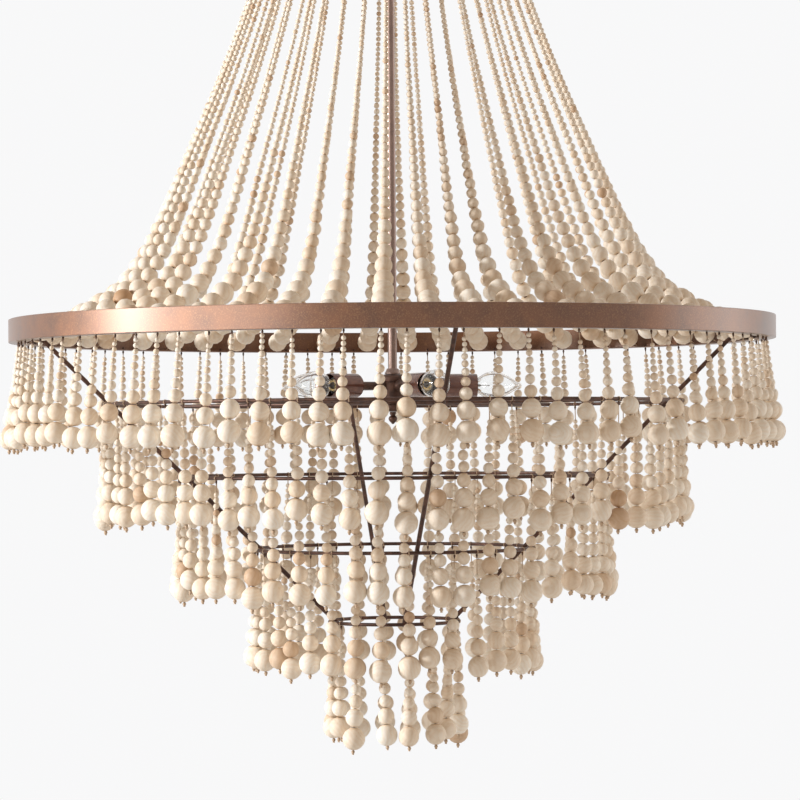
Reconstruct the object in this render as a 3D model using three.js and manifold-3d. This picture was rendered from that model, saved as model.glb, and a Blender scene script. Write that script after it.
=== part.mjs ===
// Beaded chandelier: a hoop and four smaller rings with hanging bead strings, a curtain of bead strings from the
// crown down to the hoop, five lamps on a central hub, and a short chain up to a ceiling canopy.
// Lengths are millimetres and angles degrees. +Z is up, -Y is the front, and the origin is the point of the ceiling
// that the fixture hangs from. An azimuth is counted from the front towards +X.

import * as THREE from 'three';
import { mergeGeometries, mergeVertices } from 'three/addons/utils/BufferGeometryUtils.js';
import Module from 'manifold-3d';

const wasm = await Module();
wasm.setup();

// Clearances: the seat gap lies between pieces that touch, and the overrun carries a cut past its surface.
const seatGap = 0.3;
const cutOverrun = 1.5;

// Ceiling strap, its nut and the stud through it.
const strapLength = 104;
const strapWidth = 22;
const strapThickness = 3;
const strapScrewSpacing = 70;
const strapScrewRadius = 2.6;
const studRadius = 5;
const nutAcrossCorners = 20;
const nutHeight = 5;

// Canopy that covers the ceiling box.
const canopyRadius = 65;
const canopyDepth = 30;
const canopyRimHeight = 6;
const canopyNeckRadius = 17;
const canopyWall = 1.6;

// Loops at both ends of the chain: a ring on a threaded collar.
const loopRingRadius = 12;
const loopWireRadius = 2.6;
const loopCollarRadius = 11.5;
const loopCollarHeight = 11;
const loopCollarChamfer = 2;
const loopBoreDepth = 6.5;
const loopSink = 1.5;

// Chain links.
const linkCount = 3;
const linkWireRadius = 2;
const linkBendRadius = 8;
const linkStraight = 22;

// Stem, crown and the bead curtain.
const stemRadius = 5.1;
const crownDrop = 22;
const crownRadius = 85;
const crownBandHeight = 16;
const crownBandWall = 2;
const spiderHubRadius = 11;
const spiderHubHeight = 12;
const spiderRodRadius = 3;
const curtainDrop = 600;
const curtainCount = 48;
const curtainEndInset = 15;

// Hoop: an upright band with a flange that points inwards at its lower edge.
const hoopRadius = 432;
const hoopHeight = 25.4;
const hoopWall = 2;
const flangeWidth = 18;
const flangeThickness = 1.6;

// Rings below the hoop and the struts that carry them.
const ringTopRadius = 327;
const ringStep = 84.6;
const ringDrop = 82.3;
const ringRodRadius = 2.6;
const strutRadius = 2.5;
const strutBend = 6;
const strutTail = 7;
const spokeRadius = 3.5;

// Bead strings that hang from the hoop and the rings.
const largestBead = 25;
const beadWire = 1.2;
const beadBite = 0.8;
const hoopStringLength = 126;
const ringStringLength = 145;
const hoopStringFlare = 13;

// Hub at the foot of the stem.
const hubRadius = 15.8;
const hubTopDepth = 50;
const hubHeight = 42;
const hubChamfer = 3;
const hubBoreDepth = 9;
const hubSocketDepth = 3.5;
const stemNutRadius = 9;
const stemNutHeight = 6.5;
const finialRadius = 5;
const finialNeckRadius = 3.6;
const finialLength = 14;

// Lamps: arm, sleeve, lampholder and bulb, all on one level axis.
const lampCount = 5;
const lampDepth = 63;
const armRadius = 4.5;
const armSeat = 3.4;
const sleeveStart = 54;
const sleeveLength = 42;
const sleeveRadius = 13.4;
const sleeveWall = 1;
const sleevePlate = 1.6;
const holderRadius = 9.5;
const holderLength = 33;
const holderFloor = 3;
const bulbBaseRadius = 6.1;
const bulbBaseFlange = 7.4;
const bulbFlangeHeight = 1.6;
const bulbBaseInset = 2.5;
const bulbPostRadius = 1.6;
const bulbPostLength = 20;
const glassLength = 56;
const glassRadius = 16;
const glassWall = 0.9;

// Azimuths of the struts, the spider rods and the lamps.
const strutAzimuth = 9.4;
const spiderAzimuth = 45;
const lampAzimuth = 24;
const strutCount = 4;

// Facets round each form.
const facets = {
  canopy: 20, collar: 12, wire: 6, loop: 12, link: 14, stem: 12, crown: 48, hoop: 60, rings: [56, 48, 40, 24],
  rod: 6, arm: 8, hub: 16, sleeve: 10, holder: 8, glass: 8, bead: 3,
};

// Strings on the hoop and on each ring, from the top ring down.
const hoopStrings = 88;
const ringStrings = [72, 52, 36, 16];

// A hanging string thickens towards its largest bead: shares of its length and of that bead's radius.
const stringShares = [[0.6, 0.46], [0.885, 1]];

// The curtain's course from the crown (0, 0) to the hoop (1, 1), outwards and down, and its bead radius: shares.
const curtainShares = [
  [0.006, 0.012, 0.26], [0.356, 0.526, 0.34], [0.6, 0.832, 0.54], [0.79, 0.95, 0.96], [1, 1, 1],
];

// The canopy's ogee from its rim (1, 0) to its neck (0, 1): shares of the run and the drop between them.
const canopyShares = [[1, 0], [0.9, 0.36], [0.55, 0.68], [0.15, 0.87], [0, 1]];

// The bulb's outline from its neck to its tip: shares of its length and of its radius.
const glassShares = [[0, 0.46], [0.14, 0.62], [0.36, 0.98], [0.6, 0.86], [0.84, 0.42]];

// Heights that follow from the sizes.
const loopCollarTop = -(canopyDepth + seatGap);
const canopyLoopCentre = loopCollarTop - loopCollarHeight - loopRingRadius + loopSink;
const canopyBar = canopyLoopCentre - loopRingRadius;
const linkHeight = linkStraight + 2 * linkBendRadius;
const linkPitch = linkHeight - 2 * linkWireRadius - seatGap;
const firstLinkTop = canopyBar + loopWireRadius + seatGap + linkWireRadius;
const lastLinkBar = firstLinkTop - linkPitch * (linkCount - 1) - linkHeight;
const fixtureLoopCentre = lastLinkBar + linkWireRadius + seatGap + loopWireRadius - loopRingRadius;
const fixtureCollarBottom = fixtureLoopCentre - loopRingRadius + loopSink - loopCollarHeight;
const crownZ = fixtureCollarBottom - crownDrop;
const hoopZ = crownZ - curtainDrop;
const hoopBottom = hoopZ - hoopHeight / 2;
const hoopInnerRadius = hoopRadius - hoopWall;
const flangeInnerRadius = hoopInnerRadius - flangeWidth;
const hubTop = hoopZ - hubTopDepth;
const lampZ = hoopZ - lampDepth;
const ringHalfSide = ringRodRadius * Math.SQRT1_2;

const finishes = {
  zinc: { color: 0x9a9c9e, metalness: 0.9, roughness: 0.45 },
  bronze: { color: 0x6b4a38, metalness: 0.75, roughness: 0.42 },
  darkBronze: { color: 0x3a2a22, metalness: 0.7, roughness: 0.5 },
  sleeve: { color: 0x7a4f3c, metalness: 0.35, roughness: 0.3 },
  porcelain: { color: 0xd8d4cc, metalness: 0, roughness: 0.5 },
  brass: { color: 0xb08d4a, metalness: 0.9, roughness: 0.35 },
  glass: { color: 0xf4f6f6, metalness: 0, roughness: 0.05, transparent: true, opacity: 0.3 },
  paleWood: { color: 0xe6cfb2, metalness: 0, roughness: 0.75 },
};

const chandelier = new THREE.Group();

function radians(degrees) {
  return THREE.MathUtils.degToRad(degrees);
}

// One closed skin with shared vertices, no collapsed faces and its faces pointing out.
function closedSkin(geometry) {
  const bare = geometry.clone();
  bare.deleteAttribute('normal');
  bare.deleteAttribute('uv');
  const merged = mergeVertices(bare);
  const position = merged.getAttribute('position');
  const corner = (n) => new THREE.Vector3().fromBufferAttribute(position, n);
  const source = merged.getIndex().array;
  const faces = [];
  let volume = 0;
  for (let n = 0; n < source.length; n += 3) {
    const [a, b, c] = [source[n], source[n + 1], source[n + 2]];
    if (a === b || b === c || c === a) continue;
    faces.push([a, b, c]);
    volume += corner(a).dot(corner(b).cross(corner(c)));
  }
  merged.setIndex(faces.flatMap(([a, b, c]) => (volume > 0 ? [a, b, c] : [a, c, b])));
  return merged;
}

function toSolid(geometry) {
  const skin = closedSkin(geometry);
  return new wasm.Manifold(new wasm.Mesh({
    numProp: 3,
    vertProperties: new Float32Array(skin.getAttribute('position').array),
    triVerts: new Uint32Array(skin.getIndex().array),
  }));
}

function fromSolid(solid) {
  const mesh = solid.getMesh();
  const geometry = new THREE.BufferGeometry();
  geometry.setAttribute('position', new THREE.BufferAttribute(mesh.vertProperties, 3));
  geometry.setIndex(new THREE.BufferAttribute(mesh.triVerts, 1));
  return geometry;
}

function join(first, ...others) {
  return fromSolid(others.reduce((solid, other) => solid.add(toSolid(other)), toSolid(first)));
}

function cut(body, ...tools) {
  return fromSolid(tools.reduce((solid, tool) => solid.subtract(toSolid(tool)), toSolid(body)));
}

// Turns an outline of [radius, height] pairs about Z, with a corner of its facets at the front.
function turned(outline, sides) {
  const geometry = new THREE.LatheGeometry(outline.map(([r, z]) => new THREE.Vector2(r, z)), sides);
  return closedSkin(geometry.rotateX(Math.PI / 2));
}

function rectangleOutline(inner, outer, low, high) {
  return [[inner, low], [outer, low], [outer, high], [inner, high], [inner, low]];
}

// An upright round bar or, with a bore, a collar.
function upright(radius, low, high, sides, bore = 0) {
  if (bore > 0) return turned(rectangleOutline(bore, radius, low, high), sides);
  return turned([[0, low], [radius, low], [radius, high], [0, high]], sides);
}

// Points an upright piece outwards from the axis at an azimuth, with its foot on the axis.
function outwards(geometry, azimuth, height) {
  return geometry.rotateX(Math.PI / 2).rotateZ(radians(azimuth)).translate(0, 0, height);
}

// A bar that runs through [radius, height, thickness] stations in the upright plane at an azimuth. With a tip the
// last station is a point.
function barThrough(stations, sides, azimuth, tip = false) {
  const centres = stations.map(([r, z]) => new THREE.Vector2(r, z));
  const rings = stations.map(([, , thickness], n) => {
    const before = centres[Math.max(n - 1, 0)];
    const after = centres[Math.min(n + 1, centres.length - 1)];
    const along = after.clone().sub(before).normalize();
    const ends = tip && n === stations.length - 1;
    return Array.from({ length: ends ? 1 : sides }, (_, side) => {
      const turn = (2 * Math.PI * side) / sides;
      const across = ends ? 0 : thickness * Math.cos(turn);
      const r = centres[n].x - along.y * across;
      const z = centres[n].y + along.x * across;
      return new THREE.Vector3(ends ? 0 : thickness * Math.sin(turn), -r, z);
    });
  });
  const faces = [];
  const first = rings.map((ring, n) => rings.slice(0, n).reduce((sum, other) => sum + other.length, 0));
  for (let n = 0; n + 1 < rings.length; n += 1) {
    for (let side = 0; side < sides; side += 1) {
      const next = (side + 1) % sides;
      if (rings[n + 1].length === 1) {
        faces.push([first[n] + side, first[n] + next, first[n + 1]]);
      } else {
        faces.push([first[n] + side, first[n] + next, first[n + 1] + next]);
        faces.push([first[n] + side, first[n + 1] + next, first[n + 1] + side]);
      }
    }
  }
  for (let side = 1; side + 1 < sides; side += 1) {
    faces.push([0, side + 1, side]);
    if (!tip) faces.push([first[rings.length - 1], first[rings.length - 1] + side, first[rings.length - 1] + side + 1]);
  }
  const geometry = new THREE.BufferGeometry().setFromPoints(rings.flat());
  geometry.setIndex(faces.flat());
  return closedSkin(geometry.rotateZ(radians(azimuth)));
}

function addPiece(parent, name, geometry, finish) {
  const mesh = new THREE.Mesh(geometry, new THREE.MeshStandardMaterial(finishes[finish]));
  mesh.name = name;
  parent.add(mesh);
  return mesh;
}

// Ceiling strap with its centre hole and two screw holes, flush with the ceiling.
function ceilingStrap() {
  const outline = new THREE.Shape();
  outline.moveTo(-strapLength / 2, -strapWidth / 2);
  outline.lineTo(strapLength / 2, -strapWidth / 2);
  outline.lineTo(strapLength / 2, strapWidth / 2);
  outline.lineTo(-strapLength / 2, strapWidth / 2);
  outline.closePath();
  const holes = [[0, studRadius + seatGap], [-strapScrewSpacing / 2, strapScrewRadius],
    [strapScrewSpacing / 2, strapScrewRadius]];
  for (const [x, radius] of holes) {
    outline.holes.push(new THREE.Path().absarc(x, 0, radius, 0, 2 * Math.PI, true));
  }
  const plate = new THREE.ExtrudeGeometry(outline, {
    depth: strapThickness,
    bevelEnabled: false,
    curveSegments: facets.collar / 2,
  });
  return closedSkin(plate.translate(0, 0, -strapThickness));
}

// A six-sided nut on a threaded tube.
function hexNut(tubeRadius, top) {
  return cut(
    upright(nutAcrossCorners / 2, top - nutHeight, top, 6),
    upright(tubeRadius + seatGap, top - nutHeight - cutOverrun, top + cutOverrun, facets.collar),
  );
}

function canopy() {
  const course = canopyShares.map(([runShare, dropShare]) => [
    canopyNeckRadius + (canopyRadius - canopyNeckRadius) * runShare,
    -canopyRimHeight - (canopyDepth - canopyRimHeight) * dropShare,
  ]);
  const hole = studRadius + seatGap;
  const inside = course.slice(0, -1).map(([r, z]) => [r - canopyWall, z + canopyWall / 2]).reverse();
  return turned([
    [canopyRadius, 0], ...course, [hole, -canopyDepth], [hole, -canopyDepth + canopyWall],
    [canopyNeckRadius - canopyWall, -canopyDepth + canopyWall], ...inside, [canopyRadius - canopyWall, 0],
    [canopyRadius, 0],
  ], facets.canopy);
}

// Ring and collar of a loop about the collar's bored end at height 0, with the ring above it.
function collaredLoop() {
  const ring = new THREE.TorusGeometry(loopRingRadius, loopWireRadius, facets.wire, facets.loop);
  const bore = stemRadius + seatGap;
  const collar = turned([
    [bore, 0], [loopCollarRadius, 0], [loopCollarRadius, loopCollarHeight - loopCollarChamfer],
    [loopCollarRadius - loopCollarChamfer, loopCollarHeight], [0, loopCollarHeight], [0, loopBoreDepth],
    [bore, loopBoreDepth],
    [bore, 0],
  ], facets.collar);
  ring.rotateX(Math.PI / 2).translate(0, 0, loopCollarHeight + loopRingRadius - loopSink);
  return join(collar, ring);
}

// A chain link in the XZ plane about its middle: a ring whose halves are drawn apart.
function chainLink() {
  const geometry = new THREE.TorusGeometry(linkBendRadius, linkWireRadius, facets.wire, facets.link);
  geometry.rotateZ(Math.PI / 2);
  const position = geometry.getAttribute('position');
  for (let n = 0; n < position.count; n += 1) {
    position.setY(n, position.getY(n) + (Math.sign(position.getY(n)) * linkStraight) / 2);
  }
  return closedSkin(geometry.rotateX(Math.PI / 2));
}

// Hub of the crown and its four rods, about the crown's middle.
function crownSpider() {
  const bore = stemRadius + seatGap;
  const reach = crownRadius - crownBandWall - seatGap - spiderRodRadius * Math.tan(Math.PI / facets.crown);
  const hub = upright(spiderHubRadius, -spiderHubHeight / 2, spiderHubHeight / 2, facets.collar, bore);
  const rods = Array.from({ length: strutCount }, (_, n) => outwards(
    upright(spiderRodRadius, (spiderHubRadius + bore) / 2, reach, facets.rod),
    spiderAzimuth + (360 / strutCount) * n,
    0,
  ));
  return join(hub, ...rods);
}

// Bead strings hung side by side, spread evenly from one azimuth on.
function stringSet(count, startAzimuth, stations) {
  const strings = Array.from({ length: count }, (_, n) => barThrough(
    stations,
    facets.bead,
    startAzimuth + (360 / count) * n,
    true,
  ));
  return mergeGeometries(strings);
}

// Stations of a hanging string, from inside what carries it down to its tip.
function hangingStations(radius, top, length, flare) {
  return [
    [radius, top + beadBite, beadWire],
    ...stringShares.map(([lengthShare, beadShare]) => [
      radius + flare * lengthShare, top - length * lengthShare, (largestBead / 2) * beadShare,
    ]),
    [radius + flare, top - length, 0],
  ];
}

// Crown band with the curtain of strings that runs down inside the hoop and ends at its flange.
function crownCurtain() {
  const band = turned(rectangleOutline(
    crownRadius - crownBandWall,
    crownRadius,
    crownZ - crownBandHeight / 2,
    crownZ + crownBandHeight / 2,
  ), facets.crown);
  const start = crownRadius - crownBandWall / 2;
  const run = flangeInnerRadius - curtainEndInset - start;
  const top = crownZ - crownBandHeight / 2;
  const course = curtainShares.map(([outShare, downShare, beadShare]) => [
    start + run * outShare,
    top - (top - hoopZ) * downShare,
    (largestBead / 2) * beadShare,
  ]);
  const end = [flangeInnerRadius - seatGap * 2, hoopBottom + flangeThickness / 2, 0];
  const spacing = 360 / curtainCount;
  const stations = [[start, top + beadBite, beadWire / 2], ...course, end];
  return join(band, stringSet(curtainCount, strutAzimuth + spacing / 2, stations));
}

// Hoop with its flange and the strings that hang from the flange.
function hoopFringe() {
  const flangeTop = hoopBottom + flangeThickness;
  const hoop = turned([
    [flangeInnerRadius, hoopBottom], [hoopRadius, hoopBottom], [hoopRadius, hoopBottom + hoopHeight],
    [hoopInnerRadius, hoopBottom + hoopHeight], [hoopInnerRadius, flangeTop], [flangeInnerRadius, flangeTop],
    [flangeInnerRadius, hoopBottom],
  ], facets.hoop).rotateZ(radians(strutAzimuth));
  const stations = hangingStations(
    (flangeInnerRadius + hoopInnerRadius) / 2,
    hoopBottom,
    hoopStringLength,
    hoopStringFlare,
  );
  return join(hoop, stringSet(hoopStrings, 180 / hoopStrings, stations));
}

function ringRadiusAt(n) {
  return ringTopRadius - ringStep * n;
}

function ringHeightAt(n) {
  return hoopZ - ringDrop * (n + 1);
}

// A ring of square rod with the strings that hang from it.
function ringFringe(n) {
  const radius = ringRadiusAt(n);
  const height = ringHeightAt(n);
  const rod = turned(rectangleOutline(
    radius - ringHalfSide,
    radius + ringHalfSide,
    height - ringHalfSide,
    height + ringHalfSide,
  ), facets.rings[n]).rotateZ(radians(strutAzimuth));
  const stations = hangingStations(radius, height - ringHalfSide, ringStringLength, 0);
  return join(rod, stringSet(ringStrings[n], 180 / ringStrings[n], stations));
}

// A strut lies on the flange, bends and runs down inside the rings, close against each of them.
function strut(azimuth) {
  const slope = new THREE.Vector2(-ringStep, -ringDrop).normalize();
  const aside = ringRodRadius + strutRadius + seatGap;
  const atTopRing = new THREE.Vector2(ringRadiusAt(0) + slope.y * aside, ringHeightAt(0) - slope.x * aside);
  const footHeight = hoopBottom + flangeThickness + seatGap + strutRadius;
  const knee = atTopRing.clone().addScaledVector(slope, (footHeight - atTopRing.y) / slope.y);
  const lastRing = ringStrings.length - 1;
  const foot = atTopRing.clone().addScaledVector(slope, Math.hypot(ringStep, ringDrop) * lastRing + strutTail);
  const footEnd = hoopInnerRadius - seatGap - strutRadius * Math.tan(Math.PI / facets.hoop);
  const bend = knee.clone().addScaledVector(slope, strutBend);
  return barThrough([
    [footEnd, footHeight, strutRadius],
    [knee.x + strutBend, footHeight, strutRadius],
    [bend.x, bend.y, strutRadius],
    [foot.x, foot.y, strutRadius],
  ], facets.rod, azimuth);
}

// A spoke from the hub to the top ring.
function spoke(azimuth) {
  const reach = ringRadiusAt(0) - ringHalfSide - seatGap - spokeRadius * Math.tan(Math.PI / facets.rings[0]);
  return outwards(upright(spokeRadius, hubRadius - hubSocketDepth, reach, facets.rod), azimuth, ringHeightAt(0));
}

function lampAzimuthAt(n) {
  return lampAzimuth + (360 / lampCount) * n;
}

function spokeAzimuthAt(n) {
  return strutAzimuth + (360 / strutCount) * (n + 1 / 2);
}

// Hub, bored for the stem at its top and round its side for the arms and the spokes.
function hub() {
  const bottom = hubTop - hubHeight;
  const body = turned([
    [0, bottom], [hubRadius - hubChamfer, bottom], [hubRadius, bottom + hubChamfer],
    [hubRadius, hubTop - hubChamfer], [hubRadius - hubChamfer, hubTop], [stemRadius + seatGap, hubTop],
    [stemRadius + seatGap, hubTop - hubBoreDepth], [0, hubTop - hubBoreDepth],
  ], facets.hub);
  const socket = (radius, sides, azimuth, height) => outwards(
    upright(radius + seatGap, hubRadius - hubSocketDepth - seatGap, hubRadius + cutOverrun, sides),
    azimuth,
    height,
  );
  const armSockets = Array.from({ length: lampCount }, (_, n) => socket(
    armRadius,
    facets.arm,
    lampAzimuthAt(n),
    lampZ,
  ));
  const spokeSockets = Array.from({ length: strutCount }, (_, n) => socket(
    spokeRadius,
    facets.rod,
    spokeAzimuthAt(n),
    ringHeightAt(0),
  ));
  return cut(body, ...armSockets, ...spokeSockets);
}

function stemNut() {
  const low = hubTop + seatGap;
  const bore = stemRadius + seatGap;
  return turned([
    [bore, low], [stemNutRadius, low], [stemNutRadius, low + stemNutHeight / 3],
    [(stemNutRadius + bore) / 2, low + stemNutHeight], [bore, low + stemNutHeight], [bore, low],
  ], facets.stem);
}

function finial() {
  const top = hubTop - hubHeight - seatGap;
  return turned([
    [0, top], [finialNeckRadius, top], [finialNeckRadius, top - finialLength / 3],
    [finialRadius, top - finialLength / 2], [finialRadius, top - (finialLength * 3) / 4],
    [finialNeckRadius / 2, top - finialLength], [0, top - finialLength],
  ], facets.stem);
}

// Sizes along a lamp's axis, counted outwards from the axis of the stem.
const sleeveEnd = sleeveStart + sleeveLength;
const holderStart = sleeveStart + sleevePlate + seatGap;
const holderEnd = holderStart + holderLength;
const armEnd = holderStart + armSeat;
const holderFloorStart = armEnd + seatGap;
const baseStart = holderFloorStart + holderFloor + bulbBaseInset;
const baseEnd = holderEnd + seatGap + bulbFlangeHeight;
const glassStart = baseEnd + seatGap;

function sleeve() {
  return turned([
    [armRadius + seatGap, sleeveStart], [sleeveRadius, sleeveStart], [sleeveRadius, sleeveEnd],
    [sleeveRadius - sleeveWall, sleeveEnd], [sleeveRadius - sleeveWall, sleeveStart + sleevePlate],
    [armRadius + seatGap, sleeveStart + sleevePlate], [armRadius + seatGap, sleeveStart],
  ], facets.sleeve);
}

function lampholder() {
  const bore = bulbBaseRadius + seatGap;
  const back = armRadius + seatGap;
  return turned([
    [0, holderFloorStart], [back, holderFloorStart], [back, holderStart], [holderRadius, holderStart],
    [holderRadius, holderEnd], [bore, holderEnd], [bore, holderFloorStart + holderFloor],
    [0, holderFloorStart + holderFloor],
  ], facets.holder);
}

function bulbBase() {
  return turned([
    [0, baseStart], [bulbBaseRadius, baseStart + bulbBaseInset], [bulbBaseRadius, baseEnd - bulbFlangeHeight],
    [bulbBaseFlange, baseEnd - bulbFlangeHeight], [bulbBaseFlange, baseEnd], [bulbPostRadius, baseEnd],
    [bulbPostRadius, baseEnd + bulbPostLength], [0, baseEnd + bulbPostLength],
  ], facets.holder);
}

function bulbGlass() {
  const outside = glassShares.map(([lengthShare, radiusShare]) => [
    glassRadius * radiusShare,
    glassStart + glassLength * lengthShare,
  ]);
  const inside = outside.map(([r, s]) => [r - glassWall, s]);
  const tip = glassStart + glassLength;
  return turned([[0, tip], ...outside.toReversed(), ...inside, [0, tip - glassWall]], facets.glass);
}

// Ceiling end.
addPiece(chandelier, 'ceiling_strap', ceilingStrap(), 'zinc');
addPiece(chandelier, 'strap_nut', hexNut(studRadius, -strapThickness - seatGap), 'zinc');
addPiece(chandelier, 'canopy', canopy(), 'bronze');
const stud = upright(studRadius, loopCollarTop - loopBoreDepth + seatGap, 0, facets.stem);
addPiece(chandelier, 'canopy_stud', stud, 'zinc');
const canopyLoop = addPiece(chandelier, 'canopy_loop', collaredLoop(), 'bronze');
canopyLoop.position.z = loopCollarTop;
canopyLoop.rotation.x = Math.PI;

// Chain: each link is a quarter turn from the one above it.
for (let n = 0; n < linkCount; n += 1) {
  const link = addPiece(chandelier, `chain_link_${n + 1}`, chainLink(), 'bronze');
  link.position.z = firstLinkTop - linkPitch * n - linkHeight / 2;
  link.rotation.z = (Math.PI / 2) * ((n + 1) % 2);
}

// Fixture loop, stem and crown.
const fixtureLoop = addPiece(chandelier, 'fixture_loop', collaredLoop(), 'bronze');
fixtureLoop.position.z = fixtureCollarBottom;
fixtureLoop.rotation.z = (Math.PI / 2) * ((linkCount + 1) % 2);
addPiece(chandelier, 'stem', upright(
  stemRadius,
  hubTop - hubBoreDepth + seatGap,
  fixtureCollarBottom + loopBoreDepth - seatGap,
  facets.stem,
), 'bronze');
const spider = addPiece(chandelier, 'crown_spider', crownSpider(), 'darkBronze');
spider.position.z = crownZ;
addPiece(chandelier, 'crown_nut', hexNut(stemRadius, crownZ - spiderHubHeight / 2 - seatGap), 'bronze');
addPiece(chandelier, 'crown_bead_curtain', crownCurtain(), 'paleWood');

// Hoop, rings, struts and spokes.
addPiece(chandelier, 'hoop_bead_fringe', hoopFringe(), 'bronze');
ringStrings.forEach((_, n) => addPiece(chandelier, `ring_${n + 2}_bead_fringe`, ringFringe(n), 'darkBronze'));
for (let n = 0; n < strutCount; n += 1) {
  addPiece(chandelier, `strut_${n + 1}`, strut(strutAzimuth + (360 / strutCount) * n), 'darkBronze');
  addPiece(chandelier, `spoke_${n + 1}`, spoke(spokeAzimuthAt(n)), 'darkBronze');
}

// Hub and lamps.
addPiece(chandelier, 'stem_nut', stemNut(), 'bronze');
addPiece(chandelier, 'hub', hub(), 'darkBronze');
addPiece(chandelier, 'finial', finial(), 'darkBronze');
for (let n = 0; n < lampCount; n += 1) {
  const lamp = new THREE.Group();
  lamp.position.z = lampZ;
  lamp.rotation.z = radians(lampAzimuthAt(n));
  chandelier.add(lamp);
  const axis = new THREE.Group();
  axis.rotation.x = Math.PI / 2;
  lamp.add(axis);
  const arm = upright(armRadius, hubRadius - hubSocketDepth, armEnd, facets.arm);
  addPiece(axis, `arm_${n + 1}`, arm, 'darkBronze');
  addPiece(axis, `sleeve_${n + 1}`, sleeve(), 'sleeve');
  addPiece(axis, `lampholder_${n + 1}`, lampholder(), 'porcelain');
  addPiece(axis, `bulb_base_${n + 1}`, bulbBase(), 'brass');
  addPiece(axis, `bulb_glass_${n + 1}`, bulbGlass(), 'glass');
}

export default chandelier;
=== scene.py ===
"""Beaded chandelier: bead strings on a hoop and four rings, a curtain up to the crown, and five lamps.

Every length is in metres. An azimuth is in degrees, counted from the front (-Y) towards +X. An outline is a
row of radius and height pairs, and a profile is a stretch of it, given as offsets from a corner of its piece.
"""

import sys
import logging
import math
import random
from dataclasses import dataclass, field
from enum import Enum
from typing import Sequence

import bmesh
import bpy
from mathutils import Matrix, Quaternion, Vector


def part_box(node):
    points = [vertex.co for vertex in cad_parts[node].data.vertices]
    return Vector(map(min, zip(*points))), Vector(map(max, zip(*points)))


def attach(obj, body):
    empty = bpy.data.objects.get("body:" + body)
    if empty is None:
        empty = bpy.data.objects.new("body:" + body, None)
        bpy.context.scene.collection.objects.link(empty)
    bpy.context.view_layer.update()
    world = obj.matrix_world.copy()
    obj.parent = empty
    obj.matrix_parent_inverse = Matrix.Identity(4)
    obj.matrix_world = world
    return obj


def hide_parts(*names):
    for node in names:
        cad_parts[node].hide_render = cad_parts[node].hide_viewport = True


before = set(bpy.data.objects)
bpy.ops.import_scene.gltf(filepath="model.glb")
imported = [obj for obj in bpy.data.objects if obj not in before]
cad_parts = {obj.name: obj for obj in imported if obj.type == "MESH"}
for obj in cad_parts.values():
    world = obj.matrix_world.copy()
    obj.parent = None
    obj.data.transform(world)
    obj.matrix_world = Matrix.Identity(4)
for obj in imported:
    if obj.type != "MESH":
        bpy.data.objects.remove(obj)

log = logging.getLogger("chandelier")

FULL_TURN = 2 * math.pi
ON_AXIS = 1e-6
SEAT_GAP = 0.0003
CREASE = 35.0
STRING_CREASE = 80.0
SMOOTH_STEPS = 4

Outline = Sequence[tuple[float, float]]
Colour = tuple[float, float, float, float]
Span = tuple[float, float]
Socket = bpy.types.NodeSocket


class Slot(Enum):
    """The record's material slots."""

    ZINC = "zinc"
    BRONZE = "bronze"
    DARK_BRONZE = "dark_bronze"
    SLEEVE = "sleeve"
    LAMPHOLDER = "lampholder"
    BRASS = "brass"
    BULB_GLASS = "bulb_glass"
    PALE_WOOD = "pale_wood"


class Body(Enum):
    """The bodies that pieces ride on, apart from the bulbs."""

    CANOPY = "canopy"
    LINK_1 = "link_1"
    LINK_2 = "link_2"
    LINK_3 = "link_3"
    FIXTURE = "fixture"


class Blend(Enum):
    """How a colour is laid over another."""

    COVER = "MIX"
    TINT = "MULTIPLY"


class StringPart(Enum):
    """Index of the material of each part of a bead string."""

    WOOD = 0
    CORD = 1
    HOOK = 2


def radial_point(azimuth: float, radius: float, height: float) -> Vector:
    """Returns the point at an azimuth, a distance from the stem's axis and a height."""
    turn = math.radians(azimuth)
    return Vector((radius * math.sin(turn), -radius * math.cos(turn), height))


def outward_and_side(azimuth: float) -> tuple[Vector, Vector]:
    """Returns the level directions outwards and sideways at an azimuth."""
    out = radial_point(azimuth, 1, 0)
    return out, Vector((-out.y, out.x, 0))


def outward_frame(azimuth: float, height: float) -> Matrix:
    """Returns the frame that starts on the stem's axis at a height and whose Z axis points level outwards."""
    level = Matrix.Rotation(math.radians(90), 4, "X")
    return Matrix.Translation((0, 0, height)) @ Matrix.Rotation(math.radians(azimuth), 4, "Z") @ level


def smooth_outline(points: Outline, steps: int) -> list[tuple[float, float]]:
    """Rounds a coarse outline with a curve through its points.

    Args:
        points: The outline's points.
        steps: Parts that each stretch between two points is split into.

    Returns:
        The points of the curve.
    """
    made = []
    for n in range(len(points) - 1):
        around = [points[max(0, min(len(points) - 1, n + k))] for k in (-1, 0, 1, 2)]
        for step in range(steps):
            t = step / steps
            weights = (
                -0.5 * t + t * t - 0.5 * t**3,
                1 - 2.5 * t * t + 1.5 * t**3,
                0.5 * t + 2 * t * t - 1.5 * t**3,
                -0.5 * t * t + 0.5 * t**3,
            )
            made.append(tuple(sum(w * p[k] for w, p in zip(weights, around)) for k in (0, 1)))
    return [*made, tuple(points[-1])]


def profile_at(radius: float, height: float, profile: Outline, pitch: float = 0.0, count: int = 1) -> list:
    """Sets a profile at a corner of its piece, and repeats it where it is a rib or a turn of a thread.

    Args:
        radius: The corner's radius.
        height: The corner's height.
        profile: The offsets from the corner.
        pitch: Height from one repeat to the next.
        count: How often it stands there.

    Returns:
        The points.
    """
    return [(radius + across, height + pitch * k + up) for k in range(count) for across, up in profile]


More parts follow.
